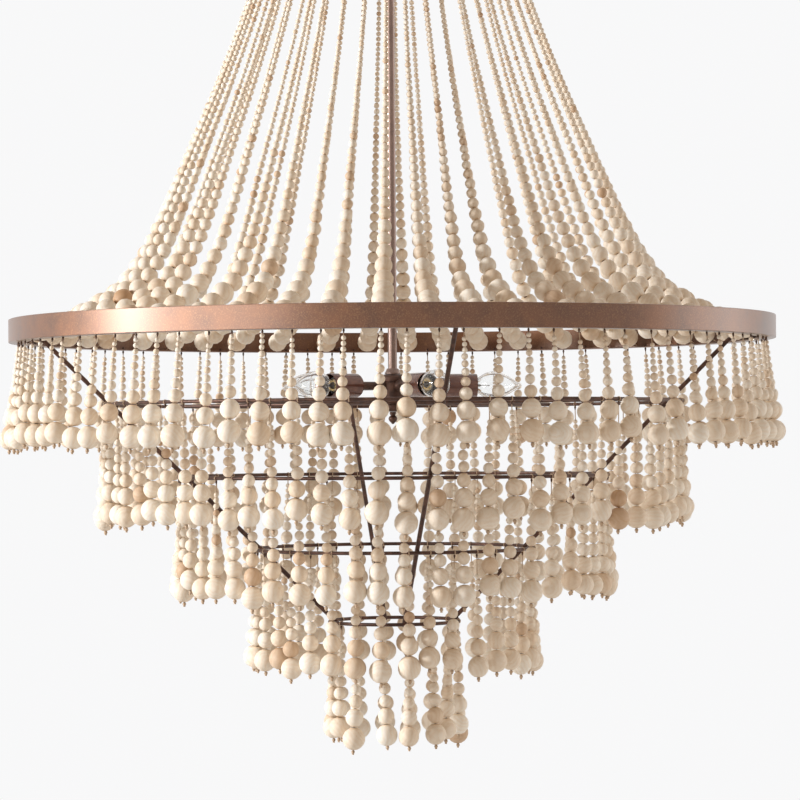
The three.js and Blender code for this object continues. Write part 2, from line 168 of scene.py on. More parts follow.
def rounded_ring(inner: float, outer: float, low: float, high: float, rounding: float) -> Outline:
    """Outlines a ring, or a rod where the inner radius is 0, whose outer edges are rounded.

    Args:
        inner: Inner radius.
        outer: Outer radius.
        low: Height of the foot.
        high: Height of the top.
        rounding: Size of the rounding.

    Returns:
        The outline.
    """
    near = outer - rounding
    side = ((outer, low + rounding), (outer, high - rounding))
    return (inner, low), (near, low), *side, (near, high), (inner, high)


def collared_rod(radius: float, start: float, end: float, collar: Outline, rounding: float) -> Outline:
    """Outlines a rod with a collar near its start and a rounded end.

    Args:
        radius: The rod's radius.
        start: Station of its start.
        end: Station of its end.
        collar: The collar's profile, with its own stations.
        rounding: Size of the rounding.

    Returns:
        The outline.
    """
    tip = ((radius, end - rounding), (radius - rounding, end), (0, end))
    return (0, start), (radius, start), *profile_at(radius, 0, collar), *tip


def new_object(name: str, data: bpy.types.ID) -> bpy.types.Object:
    """Adds an object to the scene.

    Args:
        name: Its name.
        data: Its mesh, light or camera.

    Returns:
        The object.
    """
    made = bpy.data.objects.new(name, data)
    bpy.context.scene.collection.objects.link(made)
    return made


class Graph:
    """The node tree of a material or a world, with short calls that add and join its nodes."""

    def __init__(self, owner: bpy.types.Material | bpy.types.World) -> None:
        """Starts an empty tree.

        Args:
            owner: The material or the world.
        """
        owner.use_nodes = True
        self.owner = owner
        self.tree = owner.node_tree
        self.tree.nodes.clear()

    def add(self, kind: str, inputs: dict | None = None, **settings: object) -> bpy.types.Node:
        """Adds a node.

        Args:
            kind: The node's type without its ShaderNode prefix.
            inputs: A value or an output socket for each named or numbered input.
            settings: Properties of the node.

        Returns:
            The node.
        """
        node = self.tree.nodes.new("ShaderNode" + kind)
        for name, value in settings.items():
            setattr(node, name, value)
        for name, value in (inputs or {}).items():
            if isinstance(value, Socket):
                self.tree.links.new(value, node.inputs[name])
            else:
                node.inputs[name].default_value = value
        return node

    def math(self, operation: str, *values: object) -> Socket:
        """Adds a Math node and returns its output."""
        return self.add("Math", dict(enumerate(values)), operation=operation).outputs[0]

    def band(self, value: Socket, span: Span) -> Socket:
        """Turns a value into a share that runs from 0 at the span's start to 1 at its end."""
        inputs = {"Value": value, "From Min": span[0], "From Max": span[1]}
        return self.add("MapRange", inputs, clamp=True).outputs["Result"]

    def total(self, least: float, *patterns: tuple[Socket, float]) -> Socket:
        """Adds some of each pattern to a least value.

        Args:
            least: The value where every pattern is 0.
            patterns: Each pattern and what it adds where it is 1.

        Returns:
            The sum's socket.
        """
        added = self.math("MULTIPLY", *patterns[0])
        for pattern in patterns[1:]:
            added = self.math("ADD", added, self.math("MULTIPLY", *pattern))
        return self.math("ADD", added, least)

    def mix(self, share: object, first: object, second: object, blend: Blend = Blend.COVER) -> Socket:
        """Lays the share of a second colour over a first one, each a value or a socket."""
        inputs = {0: share, 6: first, 7: second}
        return self.add("Mix", inputs, data_type="RGBA", blend_type=blend.value).outputs[2]

    def noise(self, vector: Socket, scale: float, detail: float, rough: float = 0.6) -> Socket:
        """Adds a noise pattern and returns its value's socket."""
        inputs = {"Vector": vector, "Scale": scale, "Detail": detail, "Roughness": rough}
        return self.add("TexNoise", inputs).outputs[0]

    def attribute(self, name: str, output: str) -> Socket:
        """Returns one output of a mesh attribute."""
        return self.add("Attribute", attribute_name=name).outputs[output]

    def stretched(self, place: Socket, stretch: tuple[float, float, float]) -> Socket:
        """Returns coordinates stretched along the axes."""
        return self.add("Mapping", {"Vector": place, "Scale": stretch}).outputs["Vector"]

    def object_place(self, stretch: tuple[float, float, float] = (1, 1, 1)) -> Socket:
        """Returns Object coordinates, stretched along the axes."""
        return self.stretched(self.add("TexCoord").outputs["Object"], stretch)

    def seen(self) -> Socket:
        """Tells the rays that show the surroundings from those that light the object.

        Returns:
            A socket that is 1 for camera, glossy and transmission rays, and 0 for the rest.
        """
        path = self.add("LightPath").outputs
        direct = self.math("MAXIMUM", path["Is Camera Ray"], path["Is Glossy Ray"])
        return self.math("MAXIMUM", direct, path["Is Transmission Ray"])

    def surface(self, inputs: dict, bump: Socket, depth: float) -> bpy.types.Material:
        """Closes the tree with a Principled shader.

        Args:
            inputs: The shader's inputs.
            bump: A height pattern.
            depth: Height of the bump.

        Returns:
            The material.
        """
        raised = self.add("Bump", {"Height": bump, "Strength": 1.0, "Distance": depth})
        shader = self.add("BsdfPrincipled", {**inputs, "Normal": raised.outputs["Normal"]})
        self.add("OutputMaterial", {"Surface": shader.outputs["BSDF"]})
        return self.owner


@dataclass(frozen=True)
class Finish:
    """A surface finish, known by its material's name."""

    name: str

    def graph(self) -> Graph:
        """Starts the finish's material."""
        return Graph(bpy.data.materials.new(self.name))

    def material(self) -> bpy.types.Material:
        """Builds the material, in each finish's own way."""
        raise NotImplementedError


@dataclass(frozen=True)
class PaleWood(Finish):
    """Unvarnished pale wood of the beads, with its own tone and grain on each bead."""

    name: str = "pale_wood_beads"
    darkest: Colour = (0.52, 0.33, 0.19, 1)
    middle: Colour = (0.82, 0.71, 0.58, 1)
    palest: Colour = (0.905, 0.87, 0.80, 1)
    dark_tones: Span = (0.0, 0.45)
    pale_tones: Span = (0.45, 1.0)
    ring_tint: Colour = (0.84, 0.70, 0.54, 1)
    ring_scale: float = 75.0
    ring_share: float = 0.26
    refraction: float = 1.45
    sheen: float = 0.35
    ring_waves: tuple[tuple[str, float], ...] = (("Distortion", 5.0), ("Detail", 2.0), ("Detail Scale", 1.4))
    fibre_tint: Colour = (0.90, 0.82, 0.72, 1)
    fibre_scale: float = 900.0
    fibre_stretch: tuple[float, float, float] = (1, 1, 0.12)
    fibre_band: Span = (0.54, 0.78)
    # Painted shade: the wood darkens towards each bead's ends, where it touches its neighbours.
    contact_shade_tint: Colour = (0.86, 0.74, 0.60, 1)
    contact_shade_band: Span = (0.80, 1.0)
    # Painted shade: a dark brown for the hollow of the hole at each bead's ends.
    bore_shade_colour: Colour = (0.10, 0.055, 0.03, 1)
    bore_band: Span = (0.955, 0.972)
    bore_depth: float = 4.0
    least_roughness: float = 0.42
    fibre_roughness: float = 0.25
    grain_depth: float = 0.00006

    def material(self) -> bpy.types.Material:
        """Builds the wood from the beads' tone, axis and grain attributes.

        Returns:
            The material.
        """
        g = self.graph()
        tone, axis = g.attribute("bead_tone", "Fac"), g.attribute("bead_axis", "Fac")
        place = g.attribute("bead_grain", "Vector")
        colour = g.mix(g.band(tone, self.dark_tones), self.darkest, self.middle)
        colour = g.mix(g.band(tone, self.pale_tones), colour, self.palest)
        rings = g.add(
            "TexWave",
            {"Vector": place, "Scale": self.ring_scale, **dict(self.ring_waves)},
            wave_type="RINGS",
            rings_direction="Z",
        ).outputs["Fac"]
        fibres = g.noise(g.stretched(place, self.fibre_stretch), self.fibre_scale, detail=4.0)
        colour = g.mix(g.math("MULTIPLY", rings, self.ring_share), colour, self.ring_tint, Blend.TINT)
        colour = g.mix(g.band(fibres, self.fibre_band), colour, self.fibre_tint, Blend.TINT)
        # Painted shade where beads touch: darker towards each bead's ends.
        colour = g.mix(g.band(axis, self.contact_shade_band), colour, self.contact_shade_tint, Blend.TINT)
        # The bore at each end: a dip in the bump, and painted shade of the hole in the colour.
        bore = g.band(axis, self.bore_band)
        deep = g.math("MULTIPLY", bore, self.bore_depth)
        height = g.math("SUBTRACT", g.math("MULTIPLY", fibres, -1.0), deep)
        inputs = {
            "Base Color": g.mix(bore, colour, self.bore_shade_colour),
            "Roughness": g.total(self.least_roughness, (fibres, self.fibre_roughness)),
            "IOR": self.refraction,
            "Specular IOR Level": self.sheen,
        }
        return g.surface(inputs, height, self.grain_depth)


@dataclass(frozen=True)
class SpeckledBronze(Finish):
    """Bronze-brown paint with the fine speckle of the hoop."""

    name: str = "speckled_bronze"
    base: Colour = (0.162, 0.058, 0.018, 1)
    fleck: Colour = (0.31, 0.152, 0.058, 1)
    shade: Colour = (0.070, 0.025, 0.010, 1)
    metallic: float = 0.62
    least_roughness: float = 0.25
    fleck_roughness: float = 0.28
    cloud_roughness: float = 0.12
    speckle: float = 700.0
    pits_to_flecks: float = 1.3
    cloud_scale: float = 28.0
    cloud_band: Span = (0.20, 0.66)
    fleck_band: Span = (0.50, 0.74)
    fleck_share: float = 0.7
    pit_band: Span = (0.22, 0.05)
    pit_share: float = 0.55
    coat: float = 0.80
    coat_roughness: float = 0.32
    depth: float = 0.00006

    def material(self) -> bpy.types.Material:
        """Builds the paint from three sizes of speckle.

        Returns:
            The material.
        """
        g = self.graph()
        place = g.object_place()
        cloud = g.noise(place, self.cloud_scale, detail=4.0)
        flecks = g.noise(place, self.speckle, detail=5.0)
        pit_scale = self.speckle * self.pits_to_flecks
        pits = g.add("TexVoronoi", {"Vector": place, "Scale": pit_scale}).outputs["Distance"]
        colour = g.mix(g.band(cloud, self.cloud_band), self.shade, self.base)
        fleck_shares = g.math("MULTIPLY", g.band(flecks, self.fleck_band), self.fleck_share)
        pit_shares = g.math("MULTIPLY", g.band(pits, self.pit_band), self.pit_share)
        colour = g.mix(pit_shares, g.mix(fleck_shares, colour, self.fleck), self.shade)
        patterns = (flecks, self.fleck_roughness), (cloud, self.cloud_roughness)
        inputs = {
            "Base Color": colour,
            "Roughness": g.total(self.least_roughness, *patterns),
            "Metallic": self.metallic,
            "Coat Weight": self.coat,
            "Coat Roughness": self.coat_roughness,
        }
        return g.surface(inputs, flecks, self.depth)


@dataclass(frozen=True)
class WornMetal(Finish):
    """Metal with a faint mottle, fine scratches and a tone that varies."""

    base: Colour
    worn: Colour
    metallic: float = 0.8
    least_roughness: float = 0.19
    mottle_roughness: float = 0.22
    scratch_roughness: float = 0.1
    mottle: float = 120.0
    mottle_band: Span = (0.38, 0.68)
    scratches_to_mottle: float = 14.0
    scratch_stretch: tuple[float, float, float] = (1, 1, 0.25)
    scratch_band: Span = (0.45, 0.75)
    scratch_share: float = 0.35
    depth: float = 0.00003

    def material(self) -> bpy.types.Material:
        """Builds the metal from a broad mottle and fine scratches.

        Returns:
            The material.
        """
        g = self.graph()
        broad = g.noise(g.object_place(), self.mottle, detail=4.0)
        scratch_scale = self.mottle * self.scratches_to_mottle
        fine = g.noise(g.object_place(self.scratch_stretch), scratch_scale, detail=3.0)
        colour = g.mix(g.band(broad, self.mottle_band), self.base, self.worn)
        scratches = g.math("MULTIPLY", g.band(fine, self.scratch_band), self.scratch_share)
        patterns = (broad, self.mottle_roughness), (fine, self.scratch_roughness)
        inputs = {
            "Base Color": g.mix(scratches, colour, self.worn),
            "Roughness": g.total(self.least_roughness, *patterns),
            "Metallic": self.metallic,
        }
        return g.surface(inputs, fine, self.depth)


@dataclass(frozen=True)
class Pattern:
    """A noise pattern in Object coordinates."""

    scale: float
    detail: float = 4.0
    stretch: tuple[float, float, float] = (1, 1, 1)

    def value(self, g: Graph) -> Socket:
        """Adds the pattern to a tree and returns its value's socket."""
        return g.noise(g.object_place(self.stretch), self.scale, self.detail)


@dataclass(frozen=True)
class MottledFinish(Finish):
    """A finish whose second colour and roughness follow a broad pattern, with a fine one for its relief."""

    base: Colour
    over: Colour
    broad: Pattern
    fine: Pattern | None
    colour_band: Span
    least_roughness: float
    more_roughness: float
    depth: float
    roughness_band: Span = (0, 1)
    shader: tuple[tuple[str, float], ...] = ()

    def material(self) -> bpy.types.Material:
        """Builds the material from its one or two patterns.

        Returns:
            The material.
        """
        g = self.graph()
        broad = self.broad.value(g)
        fine = self.fine.value(g) if self.fine else broad
        rough = g.band(broad, self.roughness_band)
        inputs = {
            "Base Color": g.mix(g.band(broad, self.colour_band), self.base, self.over),
            "Roughness": g.total(self.least_roughness, (rough, self.more_roughness)),
            **dict(self.shader),
        }
        return g.surface(inputs, fine, self.depth)


BEAD_WOOD = PaleWood()
CORD = MottledFinish(
    "waxed_cord",
    base=(0.42, 0.29, 0.19, 1),
    over=(0.64, 0.50, 0.36, 1),
    broad=Pattern(1500.0, 3.0, (1, 1, 2.5)),
    fine=None,
    colour_band=(0.38, 0.66),
    least_roughness=0.45,
    more_roughness=0.3,
    depth=0.00015,
)
SLEEVE_LACQUER = MottledFinish(
    "lacquered_sleeve",
    base=(0.120, 0.046, 0.032, 1),
    over=(0.195, 0.086, 0.058, 1),
    broad=Pattern(95.0, stretch=(1, 1, 3.0)),
    fine=Pattern(1600.0, 2.0),
    colour_band=(0.40, 0.68),
    least_roughness=0.16,
    more_roughness=0.15,
    depth=0.000015,
    shader=(("Metallic", 0.3), ("Coat Weight", 0.5), ("Coat Roughness", 0.08)),
)
HOLDER_PHENOLIC = MottledFinish(
    "moulded_phenolic",
    base=(0.022, 0.017, 0.015, 1),
    over=(0.060, 0.046, 0.038, 1),
    broad=Pattern(160.0),
    fine=Pattern(2400.0, 2.0),
    colour_band=(0.42, 0.75),
    least_roughness=0.36,
    more_roughness=0.25,
    depth=0.00002,
)
BULB_GLASS = MottledFinish(
    "clear_glass",
    base=(0.98, 0.985, 0.985, 1),
    over=(0.93, 0.93, 0.925, 1),
    broad=Pattern(220.0, 5.0),
    fine=Pattern(60.0, 1.0, (1, 1, 0.4)),
    colour_band=(0.55, 0.85),
    least_roughness=0.0,
    more_roughness=0.12,
    depth=0.00004,
    roughness_band=(0.58, 0.9),
    shader=(("IOR", 1.47), ("Transmission Weight", 1.0)),
)
HOOP_BRONZE = SpeckledBronze()
STEM_BRONZE = SpeckledBronze(
    name="stem_bronze",
    base=(0.215, 0.130, 0.098, 1),
    fleck=(0.30, 0.195, 0.150, 1),
    shade=(0.14, 0.080, 0.060, 1),
    metallic=0.55,
    least_roughness=0.10,
    speckle=1200.0,
)
RING_IRON = WornMetal(
    "ring_dark_bronze",
    base=(0.050, 0.026, 0.019, 1),
    worn=(0.135, 0.066, 0.045, 1),
    metallic=0.55,
    least_roughness=0.26,
)
ZINC_PLATE = WornMetal(
    "zinc_plate",
    base=(0.42, 0.43, 0.44, 1),
    worn=(0.60, 0.60, 0.59, 1),
    metallic=0.95,
    least_roughness=0.22,
    mottle=70.0,
)
CAP_BRASS = WornMetal(
    "cap_brass",
    base=(0.52, 0.36, 0.14, 1),
    worn=(0.68, 0.50, 0.24, 1),
    metallic=0.95,
    least_roughness=0.14,
    mottle=150.0,
)
HOOK_WIRE = WornMetal(
    "hook_wire",
    base=(0.045, 0.022, 0.014, 1),
    worn=(0.12, 0.06, 0.035, 1),
    metallic=0.6,
    least_roughness=0.24,
    mottle=300.0,
)
FILAMENT = WornMetal(
    "filament_wire",
    base=(0.20, 0.19, 0.18, 1),
    worn=(0.34, 0.32, 0.30, 1),
    metallic=0.9,
    mottle=400.0,
)


class Shape:
    """A mesh under construction, shaped with bmesh operators."""

    def __init__(self) -> None:
        """Starts with nothing."""
        self.bm = bmesh.new()

    def turned(self, outline: Outline, sides: int, place: Matrix | None = None) -> None:
        """Spins an outline about Z.

        Args:
            outline: The outline, open where it starts and ends on the axis, or else closed on itself.
            sides: Facets round the axis.
            place: Where the turned form goes, or None for where it is.
        """
        before = set(self.bm.verts)
        line = [self.bm.verts.new((r, 0, z)) for r, z in outline]
        edges = [self.bm.edges.new(pair) for pair in zip(line, line[1:])]
        if min(r for r, _ in outline) > ON_AXIS:
            edges.append(self.bm.edges.new((line[-1], line[0])))
        bmesh.ops.spin(
            self.bm,
            geom=line + edges,
            cent=(0, 0, 0),
            axis=(0, 0, 1),
            angle=FULL_TURN,
            steps=sides,
            use_merge=True,
            use_duplicate=False,
        )
        poles = [v for v in self.bm.verts if v not in before and math.hypot(v.co.x, v.co.y) < ON_AXIS]
        bmesh.ops.remove_doubles(self.bm, verts=poles, dist=ON_AXIS)
        if place is not None:
            made = [v for v in self.bm.verts if v not in before]
            bmesh.ops.transform(self.bm, matrix=place, verts=made)

    def tube(self, points: Sequence[Vector], radius: float, sides: int, closed: bool = False) -> list:
        """Sweeps a circle along points.

        Args:
            points: The middle line.
            radius: The tube's radius.
            sides: Facets round it.
            closed: Whether the last point joins the first.

        Returns:
            The faces made.
        """
        before = set(self.bm.faces)
        count = len(points)
        tangents = []
        for n in range(count):
            behind = points[n - 1] if n or closed else points[0]
            ahead = points[(n + 1) % count] if n + 1 < count or closed else points[-1]
            tangents.append((ahead - behind).normalized())
        first = bmesh.ops.create_circle(
            self.bm,
            cap_ends=not closed,
            segments=sides,
            radius=radius,
            matrix=Matrix.LocRotScale(points[0], tangents[0].to_track_quat("Z", "Y"), None),
        )["verts"]
        edges = opening = self._rim(first)
        for n in range(1, count):
            geom = bmesh.ops.extrude_edge_only(self.bm, edges=edges)["geom"]
            verts = [v for v in geom if isinstance(v, bmesh.types.BMVert)]
            bend = tangents[n - 1].rotation_difference(tangents[n]).to_matrix()
            bmesh.ops.rotate(self.bm, cent=points[n - 1], matrix=bend, verts=verts)
            bmesh.ops.translate(self.bm, vec=points[n] - points[n - 1], verts=verts)
            edges = self._rim(verts)
        if closed:
            bmesh.ops.bridge_loops(self.bm, edges=opening + edges)
        else:
            bmesh.ops.edgeloop_fill(self.bm, edges=edges)
        return [f for f in self.bm.faces if f not in before]

    @staticmethod
    def _rim(verts: Sequence[bmesh.types.BMVert]) -> list[bmesh.types.BMEdge]:
        """Returns the edges whose two ends are both in verts."""
        inside = set(verts)
        return list(dict.fromkeys(e for v in verts for e in v.link_edges if e.other_vert(v) in inside))

    def round_edges(self, edges: list[bmesh.types.BMEdge], width: float) -> None:
        """Rounds some edges.

        Args:
            edges: The edges.
            width: How far the rounding goes into the faces beside an edge.
        """
        bmesh.ops.bevel(
            self.bm,
            geom=edges,
            offset=width,
            offset_type="OFFSET",
            segments=2,
            profile=0.5,
            affect="EDGES",
            material=-1,
        )

    def mesh(self, name: str) -> bpy.types.Mesh:
        """Turns the shape into a mesh with its faces pointing out.

        Args:
            name: The mesh's name.

        Returns:
            The mesh.
        """
        bmesh.ops.recalc_face_normals(self.bm, faces=self.bm.faces)
        made = bpy.data.meshes.new(name)
        self.bm.to_mesh(made)
        self.bm.free()
        return made


def turned_shape(outline: Outline, sides: int, place: Matrix | None = None) -> Shape:
    """Starts a shape with a turned form.

    Args:
        outline: The form's outline.
        sides: Facets round the axis.
        place: Where the form goes, or None for where it is.

    Returns:
        The shape.
    """
    shape = Shape()
    shape.turned(outline, sides, place)
    return shape


@dataclass
class Maker:
    """Turns shapes into finished pieces that ride on their bodies."""

    materials: dict[str, bpy.types.Material] = field(default_factory=dict)
    count: int = 0

    def material(self, finish: Finish) -> bpy.types.Material:
        """Finds a finish's material, which is built at its first use.

        Args:
            finish: The finish.

        Returns:
            The material.
        """
        if finish.name not in self.materials:
            self.materials[finish.name] = finish.material()
        return self.materials[finish.name]

    def piece(
        self,
        name: str,
        shape: Shape,
        finishes: Sequence[Finish],
        node: str,
        body: str = Body.FIXTURE.value,
        crease: float = CREASE,
    ) -> None:
        """Makes one piece, hangs it on its body's empty and hides the CAD node that it stands for.

        Args:
            name: The piece's name.
            shape: Its shape.
            finishes: The finish of each of its materials.
            node: The CAD node that it stands for.
            body: The body that it rides on.
            crease: Degrees past which an edge stays sharp.
        """
        mesh = shape.mesh(name)
        for finish in finishes:
            mesh.materials.append(self.material(finish))
        mesh.shade_smooth()
        mesh.set_sharp_from_angle(angle=math.radians(crease))
        made = new_object(name, mesh)
        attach(made, body)
        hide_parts(node)
        self.count += 1
        log.info("%s: %d faces, stands for %s", name, len(mesh.polygons), node)

    def iron(self, name: str, shape: Shape, node: str) -> None:
        """Makes a dark bronze piece of the fixture."""
        self.piece(name, shape, [RING_IRON], node)

    def strings(self, name: str, work: Shape, node: str) -> None:
        """Makes a piece of bead strings of the fixture."""
        self.piece(name, work, [BEAD_WOOD, CORD, HOOK_WIRE], node, crease=STRING_CREASE)

    def dress(self, node: str, finish: Finish) -> None:
        """Gives a CAD node that stays as it is its material.

        Args:
            node: The node.
            finish: Its finish.
        """
        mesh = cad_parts[node].data
        mesh.materials.clear()
        mesh.materials.append(self.material(finish))
        log.info("%s: dressed as it is", node)


@dataclass(frozen=True)
class BeadVariety:
    """The beads' facets by diameter, and how far one bead differs from the next."""

    facets: tuple[tuple[float, tuple[int, int]], ...] = (
        (0.0095, (8, 6)), (0.017, (9, 7)), (math.inf, (14, 9)),
    )
    dark_share: float = 0.035
    dark_tones: Span = (0.12, 0.36)
    tone: float = 0.74
    tone_spread: float = 0.18
    leans: Span = (0, 5)
    lean_rise: float = 0.2
    widths: Span = (0.98, 1.0)
    stretches: Span = (0.97, 1.02)
    heartwood_reach: float = 0.022


@dataclass(frozen=True)
class Knot:
    """A knot with its short tail. The shares are of its width and length."""

    width: float
    length: float
    part: StringPart = StringPart.CORD
    facets: tuple[int, int] = (7, 5)
    middle_share: float = 0.42
    tail_sides: int = 6
    tail_middle_share: float = 0.85
    tail_length_share: float = 0.3
    tail_top_share: float = 0.26
    tail_foot_share: float = 0.32


class BeadWork(Shape):
    """Beads, cords and knots of one piece, with each bead's tone and grain kept as attributes."""

    variety = BeadVariety()

    def __init__(self, seed: int) -> None:
        """Starts with no beads.

        Args:
            seed: Seed of the beads' variation.
        """
        super().__init__()
        self.whole = bmesh.new()
        self.random = random.Random(seed)
        self.units: dict[tuple[int, int], bpy.types.Mesh] = {}
        self.start_string()

    def start_string(self) -> None:
        """Starts the next string in a small mesh of its own."""
        self.tone = self.bm.verts.layers.float.new("bead_tone")
        self.axis = self.bm.verts.layers.float.new("bead_axis")
        self.grain = self.bm.verts.layers.float_vector.new("bead_grain")

    def end_string(self) -> None:
        """Adds the string to the whole piece and starts the next one."""
        part = bpy.data.meshes.new("string")
        bmesh.ops.recalc_face_normals(self.bm, faces=self.bm.faces)
        self.bm.to_mesh(part)
        self.whole.from_mesh(part)
        bpy.data.meshes.remove(part)
        self.bm.clear()
        self.start_string()

    def unit_bead(self, facets: tuple[int, int]) -> bpy.types.Mesh:
        """Finds the bead of radius 1 that has these facets.

        Args:
            facets: Facets round the bead and along it.

        Returns:
            The bead's mesh.
        """
        if facets not in self.units:
            bm = bmesh.new()
            bmesh.ops.create_uvsphere(bm, u_segments=facets[0], v_segments=facets[1], radius=1.0)
            self.units[facets] = bpy.data.meshes.new("unit_bead")
            bm.to_mesh(self.units[facets])
            bm.free()
        return self.units[facets]

    def mesh(self, name: str) -> bpy.types.Mesh:
        """Turns all the strings into one mesh.

        Args:
            name: The mesh's name.

        Returns:
            The mesh.
        """
        self.bm.free()
        for unit in self.units.values():
            bpy.data.meshes.remove(unit)
        made = bpy.data.meshes.new(name)
        self.whole.to_mesh(made)
        self.whole.free()
        return made

    def bead_tone(self) -> float:
        """Draws a bead's tone: most are pale, and a few are much darker.

        Returns:
            The tone, from 0 for the darkest to 1 for the palest.
        """
        if self.random.random() < self.variety.dark_share:
            return self.random.uniform(*self.variety.dark_tones)
        return min(1.0, max(0.0, self.random.gauss(self.variety.tone, self.variety.tone_spread)))

    def scatter(self) -> tuple[float, float, float]:
        """Draws three numbers from -1 to 1."""
        return self.random.uniform(-1, 1), self.random.uniform(-1, 1), self.random.uniform(-1, 1)

    def spin(self) -> Quaternion:
        """Draws a turn about the cord."""
        return Quaternion((0, 0, 1), self.random.uniform(0, FULL_TURN))

    def bead(self, centre: Vector, along: Vector, diameter: float) -> None:
        """Adds a bead.

        Args:
            centre: Its middle.
            along: The cord's direction through it.
            diameter: Its diameter across the cord.
        """
        draw, variety = self.random, self.variety
        stretch = draw.uniform(*variety.stretches)
        lean_axis = (draw.uniform(-1, 1), draw.uniform(-1, 1), variety.lean_rise)
        lean = Quaternion(lean_axis, math.radians(draw.uniform(*variety.leans)))
        turn = along.to_track_quat("Z", "Y") @ lean @ self.spin()
        half = diameter / 2
        size = Vector((half, half * draw.uniform(*variety.widths), half * stretch))
        before = set(self.bm.verts)
        facets = next(facets for limit, facets in variety.facets if diameter < limit)
        self.bm.from_mesh(self.unit_bead(facets))
        made = [v for v in self.bm.verts if v not in before]
        tone = self.bead_tone()
        heartwood = Vector(self.scatter()) * variety.heartwood_reach
        grain_turn = Quaternion(self.scatter(), draw.uniform(0, FULL_TURN)).normalized()
        for vert in made:
            vert[self.tone] = tone
            vert[self.axis] = abs(vert.co.z)
            vert[self.grain] = grain_turn @ (vert.co * half) + heartwood
        bmesh.ops.transform(self.bm, matrix=Matrix.LocRotScale(centre, turn, size), verts=made)

    def cord(self, points: Sequence[Vector], radius: float, sides: int = 5, closed: bool = False) -> None:
        """Adds a cord along points."""
        for face in self.tube(points, radius, sides, closed):
            face.material_index = StringPart.CORD.value

    def knot(self, knot: Knot, top: Vector, along: Vector) -> None:
        """Adds a knot with its short tail.

        Args:
            knot: The knot's sizes.
            top: Where the knot starts.
            along: The direction that it hangs in.
        """
        before = set(self.bm.faces)
        turn = along.to_track_quat("Z", "Y") @ self.spin()
        half = knot.length * knot.middle_share
        body = Matrix.LocRotScale(top + along * half, turn, Vector((knot.width / 2, knot.width / 2, half)))
        around, lengthwise = knot.facets
        bmesh.ops.create_uvsphere(self.bm, u_segments=around, v_segments=lengthwise, radius=1.0, matrix=body)
        bmesh.ops.create_cone(
            self.bm,
            cap_ends=True,
            segments=knot.tail_sides,
            radius1=knot.width * knot.tail_top_share,
            radius2=knot.width * knot.tail_foot_share,
            depth=knot.length * knot.tail_length_share,
            matrix=Matrix.LocRotScale(top + along * knot.length * knot.tail_middle_share, turn, None),
        )
        for face in self.bm.faces:
            if face not in before:
                face.material_index = knot.part.value


@dataclass(frozen=True)
class HangingString:
    """A short string that hangs from the hoop or a ring: its beads from the top down and its cord."""

    beads: tuple[float, ...]
    length: float
    flare: float = 0.0
    most_lean: float = 0.088
    lean_spread: float = 0.7
    sway_spread: float = 1.1
    size_shares: Span = (0.915, 1.0)
    bead_shares: Span = (0.95, 1.0)
    wander_share: float = 0.03
    least_slack: float = 0.0015
    slack_shares: Span = (0.35, 1.0)
    bead_gap: float = 0.00012
    cord_radius: float = 0.0006
    cord_above: float = 0.001
    cord_below: float = 0.002
    hook: Knot = Knot(0.00252, 0.0045, StringPart.HOOK)
    end_knot: Knot = Knot(0.0042, 0.0052)
    end_knot_sink: float = 0.0006

    def hang(self, work: BeadWork, azimuth: float, radius: float, top: float) -> None:
        """Hangs one string.

        Args:
            work: What the beads are added to.
            azimuth: Azimuth of the string.
            radius: Distance of its top from the stem's axis.
            top: Height of its top.
        """
        draw = work.random
        lean = math.atan2(self.flare, self.length) + math.radians(draw.gauss(0, self.lean_spread))
        sway = math.radians(draw.gauss(0, self.sway_spread))
        start = radial_point(azimuth, radius, top)
        out, side = outward_and_side(azimuth)
        lean = min(lean, self.most_lean)
        along = (out * math.sin(lean) + side * math.sin(sway) - Vector((0, 0, math.cos(lean)))).normalized()
        share = draw.uniform(*self.size_shares)
        sizes = [d * share * draw.uniform(*self.bead_shares) for d in self.beads]
        used = sum(sizes) + self.bead_gap * len(sizes) + self.end_knot.length
        distance = max(self.least_slack, self.length - used) * draw.uniform(*self.slack_shares)
        ends = [start - along * self.cord_above, start + along * (distance + self.cord_below)]
        work.cord(ends, self.cord_radius)
        work.knot(self.hook, start, along)
        for size in sizes:
            wander = (out * draw.uniform(-1, 1) + side * draw.uniform(-1, 1)) * size * self.wander_share
            work.bead(start + along * (distance + size / 2) + wander, along, size)
            distance += size + self.bead_gap
        work.knot(self.end_knot, start + along * (distance - self.end_knot_sink), along)
        work.end_string()


@dataclass(frozen=True)
class Levels:
    """Heights that several sub-assemblies share."""

    fixture_collar: float = -0.1929
    crown: float = -0.2149
    hoop: float = -0.8149
    rings: tuple[float, ...] = (-0.8972, -0.9795, -1.0618, -1.1441)
    hub_top: float = -0.8649
    lamps: float = -0.8779


LEVELS = Levels()

STRUT_COUNT = 4
STRUT_SPACING = 360 / STRUT_COUNT
FIRST_STRUT = 9.4
LAMP_COUNT = 5
LAMP_SPACING = 360 / LAMP_COUNT
FIRST_LAMP = 24.0


